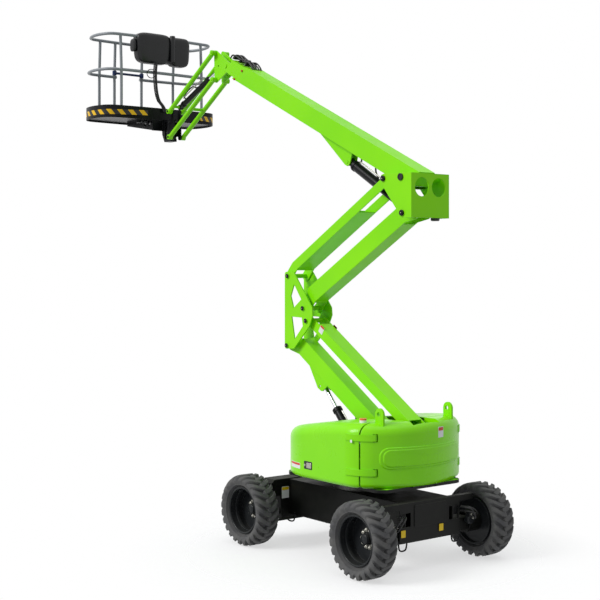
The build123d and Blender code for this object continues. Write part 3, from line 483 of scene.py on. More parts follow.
# %% Lug rows and carcass
def lug_row(side, centre, phase):
    """All lugs on one side of a tyre. Angle = step + phase - SWEEP (y / SHOULDER_Y)^SWEEP_POWER;
    each section point lies between foot and crest, set round the wheel by its own half-width."""
    t = np.linspace(0, 1, LUG_STEPS)
    y_crest, r_crest, y_foot, r_foot = (np.interp(t, STATIONS[:, 0], STATIONS[:, k])[:, None]
                                        for k in (1, 2, 3, 4))
    rounding = np.sqrt(np.clip(1 - (1 - t / END_SHARE).clip(0) ** 2, END_LEAST, 1))[:, None]
    # Six points round the section: how far round (-1 to 1) and how high (0 foot, 1 crest)
    round_share = np.array((-1, -1, -0.8, 0.8, 1, 1))[None, :]
    height = np.array((0, FLANK, 1, 1, FLANK, 0))[None, :]
    half = FOOT_HALF + (CREST_HALF - FOOT_HALF) * np.minimum(height, FLANK) / FLANK
    r = r_foot + (r_crest - r_foot) * height
    y = y_foot + (y_crest - y_foot) * height
    lead = SWEEP * (np.clip(y_crest, 0, None) / SHOULDER_Y) ** SWEEP_POWER
    angle = phase - lead + round_share * half * rounding / r
    step = np.arange(LUGS)[:, None, None] * 2 * np.pi / LUGS
    x, z = r * np.cos(angle + step), r * np.sin(angle + step)
    points = np.stack(np.broadcast_arrays(x, side * y, z), -1) + np.asarray(centre)
    return [rows_shell(lug) for lug in points]


def wheel_middle(end, side):
    """Centre of a wheel, and which way is out on its side."""
    out = 1 if side == "left" else -1
    return np.array((WHEEL_X if end == "front" else -WHEEL_X, out * WHEEL_Y, WHEEL_Z)), out


profile = np.vstack((CARCASS, np.array(CARCASS)[-2::-1] * (-1, 1)))  # the half profile and its mirror
for end, side in wheels:
    centre, _ = wheel_middle(end, side)
    carcass = lathe(profile, centre, sides=96, closed=True)
    shells = [carcass, *lug_row(1, centre, 0), *lug_row(-1, centre, np.pi / LUGS)]
    tread = put(f"tread_{end}_{side}", shells, tyre_rubber, f"wheel_{end}_{side}", 40)
    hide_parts(f"tyre_{end}_{side}")
print("tyre faces:", len(tread.data.polygons))

# %% [markdown]
# ## Rim lips, hubs and wheel nuts
# The rims are deep black dishes. A rolled lip catches the light round the bead, and a drum step runs
# inside it. The hub sits far in, ringed by nuts on studs. A nut is a lathe with six sides, which
# gives its flats and its turned chamfer in one go.

# %% Wheel details
NUTS, NUT_CIRCLE, NUT_SEAT = 10, 0.088, -0.0725  # NUT_SEAT: the rim's disc, out from the middle
# Profiles as (out from the wheel's middle, radius)
LIP = ((0.086, 0.238), (0.097, 0.2375), (0.101, 0.243), (0.100, 0.252), (0.094, 0.257), (0.085, 0.252))
STEP = ((0.030, 0.2375), (0.030, 0.226), (0.022, 0.222), (-0.010, 0.224), (-0.012, 0.2375))
HUB_CAP = ((-0.028, 0.052), (-0.014, 0.050), (-0.008, 0.042), (-0.006, 0.0))
HALF_FLAT, NUT_HEIGHT, STUD = 0.016, 0.018, 0.009


def nut(centre, axis):
    """Hexagon nut with a washer below and a stud through it."""
    r, top = HALF_FLAT / np.cos(np.pi / 6), NUT_HEIGHT
    washer = ((-0.002, r + 0.004), (0.002, r + 0.004))
    body = ((0.002, r), (top - 0.003, r), (top, HALF_FLAT * 0.86))
    stud = ((top - 0.002, STUD), (top + 0.007, STUD), (top + 0.009, STUD * 0.6))
    return [lathe(washer, centre, axis, 16), lathe(body, centre, axis, 6), lathe(stud, centre, axis, 10)]


turn = np.arange(NUTS) * 2 * np.pi / NUTS
for end, side in wheels:
    middle, out = wheel_middle(end, side)
    axis, body = (0, out, 0), f"wheel_{end}_{side}"
    lips = [lathe(profile, middle, axis, 72, closed=True) for profile in (LIP, STEP)]
    put(f"rim_lip_{end}_{side}", lips, rim_enamel, body)
    circle = (NUT_CIRCLE * np.cos(turn), np.full(NUTS, out * NUT_SEAT), NUT_CIRCLE * np.sin(turn))
    nuts = [shell for seat in middle + np.stack(circle, -1) for shell in nut(seat, axis)]
    put(f"wheel_nuts_{end}_{side}", nuts, zinc_plate, body)
    put(f"hub_cap_{end}_{side}", [lathe(HUB_CAP, middle, axis, 36)], rim_enamel, body)
print("wheel nuts:", NUTS * len(wheels))

# %% [markdown]
# ## Console cover
# The controls sit under a moulded cover hung on the rail: a wide lobe, a narrower one beside it, a
# waist between them and a round boss at the joint. Boxes with a bevel look cut, not moulded, so
# each lobe is a superellipsoid, a rounded box whose one exponent sets how square it is, drawn in
# towards the bottom.


# %% Console cover
def pillow(centre, half, square, taper=0.0, around=48, up_steps=25):
    """Rounded box (superellipsoid): x = hx C(v) C(u), y = hy C(v) S(u), z = hz S(v), where C and S
    are cosine and sine raised to the power square with their sign; taper narrows x and y downwards."""
    u = np.linspace(0, 2 * np.pi, around, endpoint=False)[None, :]
    v = np.linspace(-np.pi / 2, np.pi / 2, up_steps)[:, None]
    cos_u, sin_u, cos_v, rise = (np.sign(w) * np.abs(w) ** square
                                 for w in (np.cos(u), np.sin(u), np.cos(v), np.sin(v)))
    x = half[0] * cos_v * cos_u * (1 - taper * (1 - rise) / 2)
    y = half[1] * cos_v * sin_u * (1 - taper * (1 - rise) / 3)
    return rows_shell(np.stack((x, y, half[2] * rise + 0 * u), -1) + np.asarray(centre))


console_low, console_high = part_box("control_console")
console_x, depth_half = (console_low[0] + console_high[0]) / 2, (console_high[0] - console_low[0]) / 2
LOBE_Z, MOULDING_SHARP = 6.004, 50
# Each lobe: shift in x, middle in y, shift in z, deeper by, half width, half height, square, taper
WIDE_LOBE = (0.0, 0.150, 0.0, 0.0, 0.275, 0.204, 0.43, 0.16)
NARROW_LOBE = (-0.002, -0.2515, -0.012, 0.004, 0.1535, 0.196, 0.43, 0.12)
WAIST = (0.012, -0.112, -0.004, -0.014, 0.130, 0.176, 0.40, 0.10)
BOSS = ((0.0, 0.0), (0.0, 0.036), (0.330, 0.040), (0.350, 0.034), (0.356, 0.0))
lobes = [pillow((console_x + dx, y, LOBE_Z + dz), (depth_half + deeper, half_y, half_z), square, taper)
         for dx, y, dz, deeper, half_y, half_z, square, taper in (WIDE_LOBE, NARROW_LOBE, WAIST)]
boss = lathe(BOSS, (console_low[0] + 0.022, -0.118, 5.845), (0, 0, 1), 24)
wide, narrow, waist = lobes
console_cover = put("console_cover", [wide, narrow, boss, waist], console_polyethylene, "basket",
                    MOULDING_SHARP)
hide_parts("control_console")
ear = pillow((console_x + 0.02, 0.431, 6.03), (0.062, 0.022, 0.085), 0.6)
put("console_ear", [ear], console_polyethylene, "basket", MOULDING_SHARP)
print("console cover from", console_low, "to", console_high)

# %% [markdown]
# ## Hoses
# Hydraulic hoses are clamped at both ends and along the way, so they are plain pieces on one body. A
# round section carried along a smooth line through a few clamps is all they need. The clamps over
# the boom's nose are moulded bars, made as flat plates with a chamfer.


# %% Smooth lines, pipes and plates
def smooth(points, steps=8):
    """Smooth line through points (Catmull-Rom). Between b and c of neighbours a, b, c, d it is
    half of 2b + (c - a) t + (2a - 5b + 4c - d) t^2 + (3b - a - 3c + d) t^3, for t from 0 to 1."""
    p = np.asarray(points, float)
    p = np.vstack((2 * p[0] - p[1], p, 2 * p[-1] - p[-2]))
    t = np.linspace(0, 1, steps, endpoint=False)[None, :, None]
    a, b, c, d = p[:-3, None], p[1:-2, None], p[2:-1, None], p[3:, None]
    run = b + (c - a) * t / 2 + (a - 2.5 * b + 2 * c - d / 2) * t**2 + (1.5 * (b - c) + (d - a) / 2) * t**3
    return np.vstack((run.reshape(-1, 3), p[-2]))


def pipe(path, radius, sides=10, up=(0.13, 0.31, 0.94)):
    """Round pipe along a path: tangent t from neighbours, n = t x up, b = n x t, and around each
    point the ring point + radius (cos a n + sin a b)."""
    path = np.asarray(path, float)
    t = unit(np.gradient(path, axis=0))
    n = unit(np.cross(t, up))
    b = np.cross(n, t)
    a = np.linspace(0, 2 * np.pi, sides, endpoint=False)[None, :, None]
    return rows_shell(path[:, None] + radius * (np.cos(a) * n[:, None] + np.sin(a) * b[:, None]))


def rounded_outline(width, height, corner, steps=5):
    """Outline of a rounded rectangle: a quarter circle about each corner's own centre."""
    a = np.linspace(0, np.pi / 2, steps)
    arc = corner * np.stack((np.cos(a), np.sin(a)), -1)
    quarter = np.arange(4) * np.pi / 2
    turns = [np.array(((np.cos(q), np.sin(q)), (-np.sin(q), np.cos(q)))) for q in quarter]
    centres = np.array(((1, 1), (-1, 1), (-1, -1), (1, -1))) * (width / 2 - corner, height / 2 - corner)
    return np.vstack([c + arc @ turn for c, turn in zip(centres, turns)])


UPRIGHT = (0, 0, 1)


def slab(size, centre, right, depth, chamfer=0.0, up=UPRIGHT):
    """Plate of size (width, height, corner): its outline on the base and near the top, and drawn
    in by the chamfer on top. It rises along right x up."""
    right, up = unit(right), unit(up)
    outline, out = rounded_outline(*size), np.cross(right, up)
    drawn_in = outline * (1 - chamfer / np.abs(outline).max(axis=0))
    levels = ((outline, 0.0), (outline, depth - chamfer), (drawn_in, depth))
    rows = [np.asarray(centre) + s[:, :1] * right + s[:, 1:] * up + h * out for s, h in levels]
    return rows_shell(np.array(rows if chamfer else rows[::2]))


print("rounded outline:", len(rounded_outline(0.1, 0.1, 0.01)), "points")

# %% Basket hoses and boom-nose hoses
HOSE_RADIUS = 0.0095
BASKET_CLAMPS = np.array(((4.052, 0.150, 5.80), (4.040, 0.168, 5.64), (4.044, 0.150, 5.44),
                          (4.050, 0.108, 5.31), (4.046, 0.045, 5.235), (4.030, 0.010, 5.150)))
BASKET_SPREAD = ((0.0, 0.0, 0.0), (-0.004, 0.026, 0.0), (0.010, -0.023, 0.0))
basket_hoses = [pipe(smooth(BASKET_CLAMPS + spread), HOSE_RADIUS) for spread in BASKET_SPREAD]
put("console_hoses", basket_hoses, hose_rubber, "basket")

BOOM_PIVOT, BOOM_SLOPE, BOOM_TOP_RISE = (-0.900, 3.994), np.tan(np.radians(25.5)), 0.0997


def boom_top(x, lift):
    """Height of a point above the boom's top plate at x."""
    return BOOM_PIVOT[1] + BOOM_SLOPE * (x - BOOM_PIVOT[0]) + BOOM_TOP_RISE + lift


NOSE_Y = (-0.066, -0.036, -0.006, 0.024, 0.056)
NOSE_X = np.array((1.960, 1.985, 2.06, 2.17, 2.28, 2.38, 2.43))
SWAY, WANDER, WAVES = 0.010, 0.006, 9  # up and down, sideways, and radians of wave per metre
nose_runs = []
for k, y in enumerate(NOSE_Y):
    sway = SWAY * (-1) ** k
    lifts = np.array((-0.02, 0.028, 0.046 + sway, 0.028, 0.050 - sway, 0.036, -0.02))
    line = np.stack((NOSE_X, y + WANDER * np.sin(WAVES * NOSE_X + k), boom_top(NOSE_X, lifts)), -1)
    nose_runs.append(pipe(smooth(line), HOSE_RADIUS))
nose_clamps = [slab((0.17, 0.026, 0.010), (x, -0.005, boom_top(x, -0.002)), (0, 1, 0), 0.042, 0.004,
                    up=(-1, 0, -BOOM_SLOPE)) for x in (2.10, 2.22, 2.34)]
put("boom_nose_hoses", nose_runs, hose_rubber, "boom_section")
put("boom_nose_clamps", nose_clamps, console_polyethylene, "boom_section")
print("hoses:", len(basket_hoses), "on the basket and", len(nose_runs), "over the boom's nose")

# %% [markdown]
# ## Cylinder pipes and glands
# A double-acting cylinder has a steel pipe along its barrel to feed the rod side, held off it by two
# port blocks, and a gland nut where the rod comes out. All three cylinders are dressed by one
# function, in a frame of their own: the way to the eye, outwards, and sideways.

# %% Cylinder dressing
GLAND_LONG, GLAND_PROUD = 0.045, 0.008
COLLAR_AT, COLLAR_LONG, COLLAR_PROUD = 0.035, 0.030, 0.006
PORT_SIZE, PORT_SUNK, PORT_HIGH = (0.044, 0.040, 0.006), 0.012, 0.040
PORT_ON, PORT_BACK = 0.060, 0.090  # from the collar's start, and back from the barrel's end
PIPE_RADIUS, PIPE_REACH, PIPE_SIDE, PIPE_STEP = 0.007, 0.026, 0.018, 0.006
# The hose: along from the collar's start, out from the wall, bulge that slack scales, sideways
HOSE_WAY = np.array(((0.06, PIPE_REACH, 0.0, -0.012), (0.02, PIPE_REACH, 0.050, -0.030),
                     (0.10, PIPE_REACH, 0.085, -0.040), (0.25, PIPE_REACH, 0.070, -0.030),
                     (0.33, PIPE_REACH, 0.010, -0.012), (0.40, 0.0, 0.0, -0.010)))


def dress_cylinder(word, pivot, eye, radius, length, body, above=1, slack=1.0):
    """Gland ring, end collar, port blocks, feed pipe and hose for a cylinder in the XZ plane."""
    pivot, eye = (np.array((x, 0, z)) for x, z in (pivot, eye))
    ahead, side = unit(eye - pivot), np.array((0, 1.0, 0))
    own = np.array((ahead, above * np.cross(ahead, side), side))
    wall, proud, rest = radius, radius + GLAND_PROUD, radius + COLLAR_PROUD
    gland = ((length - GLAND_LONG, wall), (length - GLAND_LONG, proud), (length - 0.007, proud),
             (length - 0.003, wall + 0.002), (length - 0.003, wall * 0.8))
    start, end = radius + COLLAR_AT, length - PORT_BACK
    collar = ((start, wall), (start, rest), (start + COLLAR_LONG, rest), (start + COLLAR_LONG, wall))
    blocks = [slab(PORT_SIZE, pivot + np.array((along, wall - PORT_SUNK, 0)) @ own, side, PORT_HIGH, 0.004,
                   up=ahead * above) for along in (start + PORT_ON, end)]
    put(f"{word}_gland", [lathe(gland, pivot, ahead, 40), lathe(collar, pivot, ahead, 40)] + blocks,
        cylinder_enamel, body)
    reach, raised = radius + PIPE_REACH, radius + PIPE_REACH + PIPE_STEP
    along = (start + PORT_ON, start + PORT_ON + 0.08, length / 2, end - 0.08, end)
    line = np.stack((along, (reach, raised, raised, raised, reach), np.full(5, PIPE_SIDE)), -1)
    put(f"{word}_feed_pipe", [pipe(smooth(pivot + line @ own), PIPE_RADIUS)], zinc_plate, body)
    along, out, bulge, sideways = HOSE_WAY.T
    hose = np.stack((start + along, radius + out + slack * bulge, sideways), -1)
    put(f"{word}_hose", [pipe(smooth(pivot + hose @ own), HOSE_RADIUS)], hose_rubber, body)


dress_cylinder("boom_cylinder", (0.202, 4.230), (-0.800, 3.640), 0.055, 0.960, "boom_barrel", above=-1)
dress_cylinder("lift_cylinder", (-0.045, 0.955), (0.652, 1.733), 0.048, 0.728, "lift_barrel", slack=0.2)
dress_cylinder("jib_cylinder", (3.672, 5.183), (2.700, 5.600), 0.036, 0.740, "jib_barrel", above=-1)

# %% [markdown]
# ## Pin ends
# Every joint of the riser turns on a pin that shows at both outer plates: a dark flange, hollow in
# the middle, with a grease nipple on it. Both are turned parts, so both are lathe shapes.

# %% Pin ends
NIPPLE = ((0.003, 0.006), (0.012, 0.005), (0.014, 0.0))


def pin_ends(name, spots, half_width, body, radius):
    """Flanges and grease nipples on both sides of the machine at (x, z) spots."""
    flange = ((-0.012, radius), (0.005, radius), (0.007, radius - 0.003), (0.007, 0.016), (0.004, 0.014),
              (0.004, 0.0))
    seats = [((x, side * half_width, z), (0, side, 0)) for x, z in spots for side in (-1, 1)]
    put(f"{name}_flanges", [lathe(flange, *seat, 28) for seat in seats], cylinder_enamel, body)
    put(f"{name}_bolts", [lathe(NIPPLE, *seat, 8) for seat in seats], zinc_plate, body)


ELBOW_PINS = ((1.160, 2.169), (0.861, 2.605), (0.806, 2.465), (1.146, 2.970))
pin_ends("elbow_pins", ELBOW_PINS, 0.159, "elbow_frame", 0.026)
print("pins at the elbow:", len(ELBOW_PINS))

# %% [markdown]
# ## Plates that follow a curve
# Labels and the raised panel on the tail lie on rounded walls. A flat slab would cut into such a
# wall, so a plate is built as rings of one outline, drawn in step by step to its middle, and each
# ring is bent on to the wall by a formula for that wall.


# %% Bent plates
def even_line(outline, count):
    """A closed outline walked round at even steps, so that long straight sides can bend too."""
    loop = np.vstack((outline, outline[:1]))
    walked = np.concatenate(((0,), np.linalg.norm(np.diff(loop, axis=0), axis=1).cumsum()))
    even = np.linspace(0, walked[-1], count, endpoint=False)
    return np.stack([np.interp(even, walked, loop[:, k]) for k in range(loop.shape[1])], -1)


def bent_plate(size, bend, lift, chamfer, corner_steps=5, sink=0.002):
    """Closed plate of that size (width, height, corner) from shrinking rings: back middle to back
    edge, over the edge, front middle."""
    outline = even_line(rounded_outline(*size, corner_steps), 120)
    shares = np.array((0.02, 0.25, 0.5, 0.75, 1.0))
    drawn_in = 1 - chamfer / np.abs(outline).max(axis=0)
    back = [bend(*(outline * k).T, -sink) for k in shares]
    front = [bend(*(outline * drawn_in * k).T, lift) for k in shares[::-1]]
    return rows_shell(np.array(back + [bend(*outline.T, max(lift - chamfer, 0))] + front))


TAIL_RADIUS = 1.050
NOSE_RADIUS, NOSE_CENTRE = 0.560, (0.120, 0.190)


def on_tail(y, z):
    """Bend for the turret's tail, an arc about the slew axis: x = -sqrt((R + h)^2 - y^2)."""
    def bend(s, t, h):
        return np.stack((-np.sqrt((TAIL_RADIUS + h) ** 2 - (y - s) ** 2), y - s, z + t + 0 * s), -1)
    return bend


def on_nose(angle, z, side):
    """Bend for the cover's nose: point = centre + (r + h)(sin a, cos a), a from the side wall."""
    def bend(s, t, h):
        a = angle - s / NOSE_RADIUS
        x = NOSE_CENTRE[0] + (NOSE_RADIUS + h) * np.sin(a)
        return np.stack((x, side * (NOSE_CENTRE[1] + (NOSE_RADIUS + h) * np.cos(a)), z + t + 0 * s), -1)
    return bend


print("tail bend at its middle:", on_tail(0, 1.0)(np.zeros(1), np.zeros(1), 0.0)[0])

# %% [markdown]
# ## Turret: raised panel, labels and latches
# The tail casting has a wide raised panel with rounded ends, plain here. A blank white label with a
# red band sits above it, one more on the nose, and each cover closes with a recessed paddle latch:
# a dark pan, a bright paddle and a round lock. What lies on a round wall is a bent plate, and what
# lies on a flat one is a slab.

# %% Turret details
VINYL, BAND, VINYL_CHAMFER = 0.0008, 0.0014, 0.0003  # label, the band printed over it, its edge
PANEL, PANEL_Z, PANEL_CORNER_STEPS = (1.106, 0.220, 0.090), 1.151, 9
FIELD = (1.046, 0.170, 0.068)
panel_shells = [bent_plate(size, on_tail(0, PANEL_Z), lift, chamfer, PANEL_CORNER_STEPS)
                for size, lift, chamfer in ((PANEL, 0.008, 0.006), (FIELD, 0.014, 0.005))]
put("tail_panel", panel_shells, lime_moulding_paint, "turret", 25)
TAIL_LABEL_Y = -0.167
for name, size, z, lift, finish in (("tail_label", (0.086, 0.110, 0.008), 1.377, VINYL, label_white),
                                    ("tail_label_band", (0.076, 0.034, 0.004), 1.409, BAND, label_red)):
    put(name, [bent_plate(size, on_tail(TAIL_LABEL_Y, z), lift, VINYL_CHAMFER)], finish, "turret")
COVER_WALL, LATCH_Z, NOSE_ANGLE = 0.750, 0.990, 0.25
LOCK = ((0, 0.013), (0.012, 0.013), (0.014, 0.011), (0.014, 0.005), (0.011, 0.004), (0.011, 0))
DOT = ((0, 0.016), (0.0012, 0.016), (0.0016, 0.0))
for side, word in ((1, "left"), (-1, "right")):
    cover, wall, facing = f"{word}_cover", side * COVER_WALL, (-side, 0, 0)
    pan = slab((0.136, 0.084, 0.010), (0.008, wall - side * 0.001, LATCH_Z), facing, 0.004, 0.002)
    put(f"latch_pan_{word}", [pan], hose_rubber, cover)
    paddle = slab((0.078, 0.058, 0.008), (-0.012, wall, LATCH_Z), facing, 0.011, 0.003)
    lock = lathe(LOCK, (0.052, wall, LATCH_Z), (0, side, 0), 20)
    put(f"latch_{word}", [paddle, lock], zinc_plate, cover)
    for name, size, z, lift, finish in (("nose_label", (0.230, 0.062, 0.006), 0.968, VINYL, label_white),
                                        ("nose_label_band", (0.220, 0.022, 0.004), 0.984, BAND, label_red)):
        plate = bent_plate(size, on_nose(NOSE_ANGLE, z, side), lift, VINYL_CHAMFER)
        put(f"{name}_{word}", [plate], finish, cover)
    put(f"seam_dot_{word}", [lathe(DOT, (-0.690, wall, 1.323), (0, side, 0), 20)], label_white, cover)
print("tail panel:", PANEL[0], "by", PANEL[1], "m")

# %% [markdown]
# ## Chassis: labels, lashing loops and drive motor fittings
# Blank labels mark the beam and the rear plate. Bent round bar makes the lashing loops under both
# ends, so a loop is a pipe along a U. At each rear wheel the drive motor shows its turned end cover
# and its ports, with hexagon unions and short bends of hose.

# %% Chassis labels and lashing loops
FRONT_BEAM_REAR, REAR_PLATE = 0.8615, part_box("chassis_frame")[0][0]
FACING_BACK = (0, -1, 0)
beam_label = slab((0.100, 0.130, 0.006), (FRONT_BEAM_REAR, 0.400, 0.545), FACING_BACK, VINYL)
put("beam_label", [beam_label], label_white, "chassis")
beam_head = slab((0.092, 0.034, 0.004), (FRONT_BEAM_REAR, 0.400, 0.588), FACING_BACK, BAND)
put("beam_label_head", [beam_head], label_yellow, "chassis")
rear_labels = [slab((0.060, 0.072, 0.006), (REAR_PLATE, y, z), FACING_BACK, VINYL)
               for y, z in ((0.378, 0.400), (-0.150, 0.404))]
put("rear_labels", rear_labels, label_yellow, "chassis")
SMALL_RADIUS = 0.0085  # of the lashing bar and of the small hoses
LOOP_TOP, LOOP_BEND = 0.330, 0.012


def lashing_loop(x, y, low, width, along_x):
    """Round bar bent to a U under a beam: down, across and up again."""
    share = np.array((-1, -0.98, -0.72, 0, 0.72, 0.98, 1)) * width / 2
    half_way, bend = (LOOP_TOP + low) / 2, low + LOOP_BEND
    drop = np.array((LOOP_TOP, half_way, bend, low, bend, half_way, LOOP_TOP))
    run = np.stack((share if along_x else 0 * share, 0 * share if along_x else share, drop), -1)
    across = (0.05, 0.99, 0.1) if along_x else (0.99, 0.05, 0.1)
    return pipe(smooth(run + (x, y, 0)), SMALL_RADIUS, 10, across)


loops = [lashing_loop(0.830, side * 0.350, 0.222, 0.150, True) for side in (-1, 1)]
loops += [lashing_loop(REAR_PLATE + 0.020, side * 0.370, 0.225, 0.110, False) for side in (-1, 1)]
put("lashing_loops", loops, cylinder_enamel, "chassis")
print("chassis rear plate at x", round(REAR_PLATE, 3))

# %% Drive motor fittings
MOTOR = (1.045, 0.545, 0.440)  # behind, beside and above the origin
END_COVER = ((0, 0.050), (0.050, 0.050), (0.062, 0.040), (0.062, 0.0))
UNION = ((0, 0.013), (0.022, 0.013), (0.024, 0.010), (0.024, 0.0))
ports, bends, unions = [], [], []
for side in (-1, 1):
    motor = np.array((-MOTOR[0], side * MOTOR[1], MOTOR[2]))
    ports.append(lathe(END_COVER, motor, (-1, 0, 0), 28))
    ports.append(slab((0.080, 0.060, 0.010), motor + (-0.02, 0, 0.055), FACING_BACK, 0.055, 0.006))
    for k, (dy, dz) in enumerate(((-0.024, 0.062), (0.024, 0.062), (0.0, 0.020))):
        seat = motor + (-0.070, dy, dz)
        unions.append(lathe(UNION, seat, (-1, 0, 0), 6))
        way = np.array(((-0.02, 0, 0), (-0.05, 0, 0.01), (-0.065, -side * 0.05, 0.055 + 0.01 * k),
                        (-0.02, -side * 0.105, 0.085), (0.07, -side * 0.12, 0.075)))
        bends.append(pipe(smooth(seat + way), SMALL_RADIUS))
put("motor_ports", ports, rim_enamel, "chassis")
put("motor_unions", unions, zinc_plate, "chassis")
put("motor_hoses", bends, hose_rubber, "chassis")
print("motor hoses:", len(bends))

# %% [markdown]
# ## Hazard tape round the tray
# The tape runs on the tray's outer wall round both ends, and stops short of the middle. The wall's
# line is the hull of the CAD tray seen from above, walked round at even steps and set out by the
# tape's thickness. Each point keeps its run along the wall, which the stripes follow.

# %% Tape on the basket tray
TAPE_LOW, TAPE_HIGH, TAPE_THICK, TAPE_SUNK = 5.080, 5.146, 0.0010, 0.0002
TAPE_FROM_LEFT, TAPE_FROM_RIGHT = 0.328, -0.540
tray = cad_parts["basket_floor"]
flat = np.array([vertex.co[:2] for vertex in tray.data.vertices])
hull = flat[convex_hull_2d(flat.tolist())]
hull = hull if np.cross(hull[1] - hull[0], hull[2] - hull[1]) > 0 else hull[::-1]
wall_line = even_line(hull, 480)
wall_step = np.linalg.norm(wall_line - np.roll(wall_line, 1, 0), axis=1).mean()
tangent = unit(np.roll(wall_line, -1, 0) - np.roll(wall_line, 1, 0))
outwards = np.stack((tangent[:, 1], -tangent[:, 0]), -1)


def sheet_shell(outer, inner):
    """Closed skin between two grids of the same size (rows, columns, xyz), joined at the borders."""
    rows, columns = outer.shape[:2]
    count = rows * columns
    index = np.arange(count).reshape(rows, columns)
    rim = np.concatenate((index[0, :-1], index[:-1, -1], index[-1, :0:-1], index[:0:-1, 0]))
    ahead = np.roll(rim, -1)
    skin = quads(rows, columns)
    border = np.stack((rim, rim + count, ahead + count, ahead), -1)
    return np.vstack((outer.reshape(-1, 3), inner.reshape(-1, 3))), [skin, count + skin[:, ::-1], border]


def tape_piece(name, chosen):
    """Tape over the chosen, connected points of the wall line, as a thin closed strip."""
    first = np.flatnonzero(chosen & ~np.roll(chosen, 1))[0]
    order = (first + np.arange(chosen.sum())) % len(chosen)
    edges = [np.full(len(order), z) for z in (TAPE_LOW, TAPE_HIGH)]
    skins = [np.stack([np.column_stack((wall_line[order] + out * outwards[order], z)) for z in edges])
             for out in (TAPE_THICK, -TAPE_SUNK)]
    runs = np.arange(len(order)) * wall_step
    one_skin = np.concatenate([np.column_stack((runs, z, 0 * runs)) for z in edges])
    return put(name, [sheet_shell(*skins)], hazard_tape, "basket", run=np.vstack((one_skin, one_skin)))


tape_piece("hazard_tape_left", wall_line[:, 1] > TAPE_FROM_LEFT)
tape_piece("hazard_tape_right", wall_line[:, 1] < TAPE_FROM_RIGHT)
print("tray wall line:", round(float(wall_step * len(wall_line)), 3), "m round")

# %% [markdown]
# ## Under the basket
# Below the tray hangs a dark rack of small parts: a foot-switch box, valves and the plugs of the
# cables that come down from the console. Blocks with a chamfer and turned plugs are enough, because
# the tray's shade hides the rest.

# %% Valve rack
RACK_X, RACK_Z, PLUG_X, PLUG_Z = 4.150, 5.0385, 4.120, 5.016
PLUG = ((0, 0.014), (0.030, 0.014), (0.034, 0.010), (0.034, 0.0))
rack = [slab((0.062, 0.050, 0.008), (RACK_X, y, RACK_Z), (1, 0, 0), 0.042, 0.004, up=(0, -1, 0))
        for y in (0.36, 0.27, 0.18, 0.09)]
plugs = [lathe(PLUG, (PLUG_X, y, PLUG_Z), (-1, 0, 0), 12) for y in (0.34, 0.28, 0.20, 0.14)]
put("valve_rack", rack + plugs, cylinder_enamel, "basket")
print("rack:", len(rack), "blocks and", len(plugs), "plugs")

# %% [markdown]
# ## Wear pad caps and link labels
# The boom's inner section slides on nylon pads, whose screws carry red caps on both sides. The lower
# links carry a blank white label with a red band, which lies along the link and not upright, so its
# slab is turned to the link's own line.

# %% Caps on the boom and labels on the link
CAP = ((0, 0.014), (0.010, 0.014), (0.014, 0.010), (0.014, 0.0))
caps = [lathe(CAP, (x, side * 0.111, z), (0, side, 0), 16)
        for x, z in ((2.109, 5.460), (2.273, 5.379)) for side in (-1, 1)]
put("wear_pad_caps", caps, cap_red, "main_boom")
LINK_SIDE, LINK_UP = 0.0935, (-0.537, 0, 0.843)
link_way = unit((1.729, 0, 1.101))
for name, size, (x, z), lift, finish in (
        ("link_label", (0.075, 0.085, 0.006), (0.598, 2.368), VINYL, label_white),
        ("link_label_band", (0.068, 0.022, 0.004), (0.580, 2.397), BAND, label_red)):
    cards = [slab(size, (x, side * LINK_SIDE, z), -side * link_way, lift, up=LINK_UP) for side in (-1, 1)]
    put(name, cards, finish, "link_c")
print("link slope:", round(float(np.degrees(np.arctan2(link_way[2], link_way[0]))), 1), "degrees")

# %% [markdown]
# ## Knuckle pins and lifting lugs
# At the knuckle the boom turns on a hollow pin. The shade inside it is painted: a black disc with
# a shallow dip sits in each end. The links' pins end in flanges. The tail's lifting lugs are broad
# plates with a round eye: a ring of quads between a half-round outline and the eye, closed to the back.

# %% Knuckle pins and lifting lugs
KNUCKLE_HALF = 0.278
pin_ends("knuckle_pins", ((-0.919, 3.627), (-0.634, 3.992)), KNUCKLE_HALF, "knuckle_frame", 0.030)
# Painted shade: a black disc with a shallow dip stands in for the shaded inside of the hollow pin.
BORE_SHADE_DISC = ((-0.012, 0.036), (0.003, 0.036), (0.004, 0.030), (-0.002, 0.026), (-0.003, 0.0))
STOP = ((-0.002, 0.046), (0.020, 0.046), (0.028, 0.038), (0.028, 0.0))
painted_bore_shades = [lathe(BORE_SHADE_DISC, (BOOM_PIVOT[0], side * KNUCKLE_HALF, BOOM_PIVOT[1]), (0, side, 0), 36)
         for side in (-1, 1)]
stop = lathe(STOP, (-0.990, -0.130, 3.577), (0, 0, -1), 28)
# One black piece: the painted shade in both ends of the pivot pin, and the stop below the boom.
put("boom_pivot_bore_shades_and_stop", painted_bore_shades + [stop], hose_rubber, "knuckle_frame")
LUG_HALF, LUG_DROP, LUG_THICK, EYE, EYE_SHIFT = 0.062, 0.120, 0.022, 0.030, 0.010


def lifting_lug(centre):
    """Plate with a round eye. Outline radius at angle a: half above, and below it the nearer of
    half / |cos a| and drop / |sin a|, which squares the foot off."""
    a = np.linspace(0, 2 * np.pi, 64, endpoint=False)
    cos, sin = (np.maximum(np.abs(way), 1e-6) for way in (np.cos(a), np.sin(a)))
    radius = np.where(np.sin(a) >= 0, LUG_HALF, np.minimum(LUG_HALF / cos, LUG_DROP / sin))
    outer = np.stack((radius * np.cos(a), 0 * a, radius * np.sin(a)), -1)
    inner = np.stack((EYE_SHIFT + EYE * np.cos(a), 0 * a, EYE * np.sin(a)), -1)
    side = np.array((0, LUG_THICK / 2, 0))
    rings = np.array((outer + side, inner + side, inner - side, outer - side)) + centre
    return rings.reshape(-1, 3), [quads(4, len(a), close_rows=True, close_columns=True)]


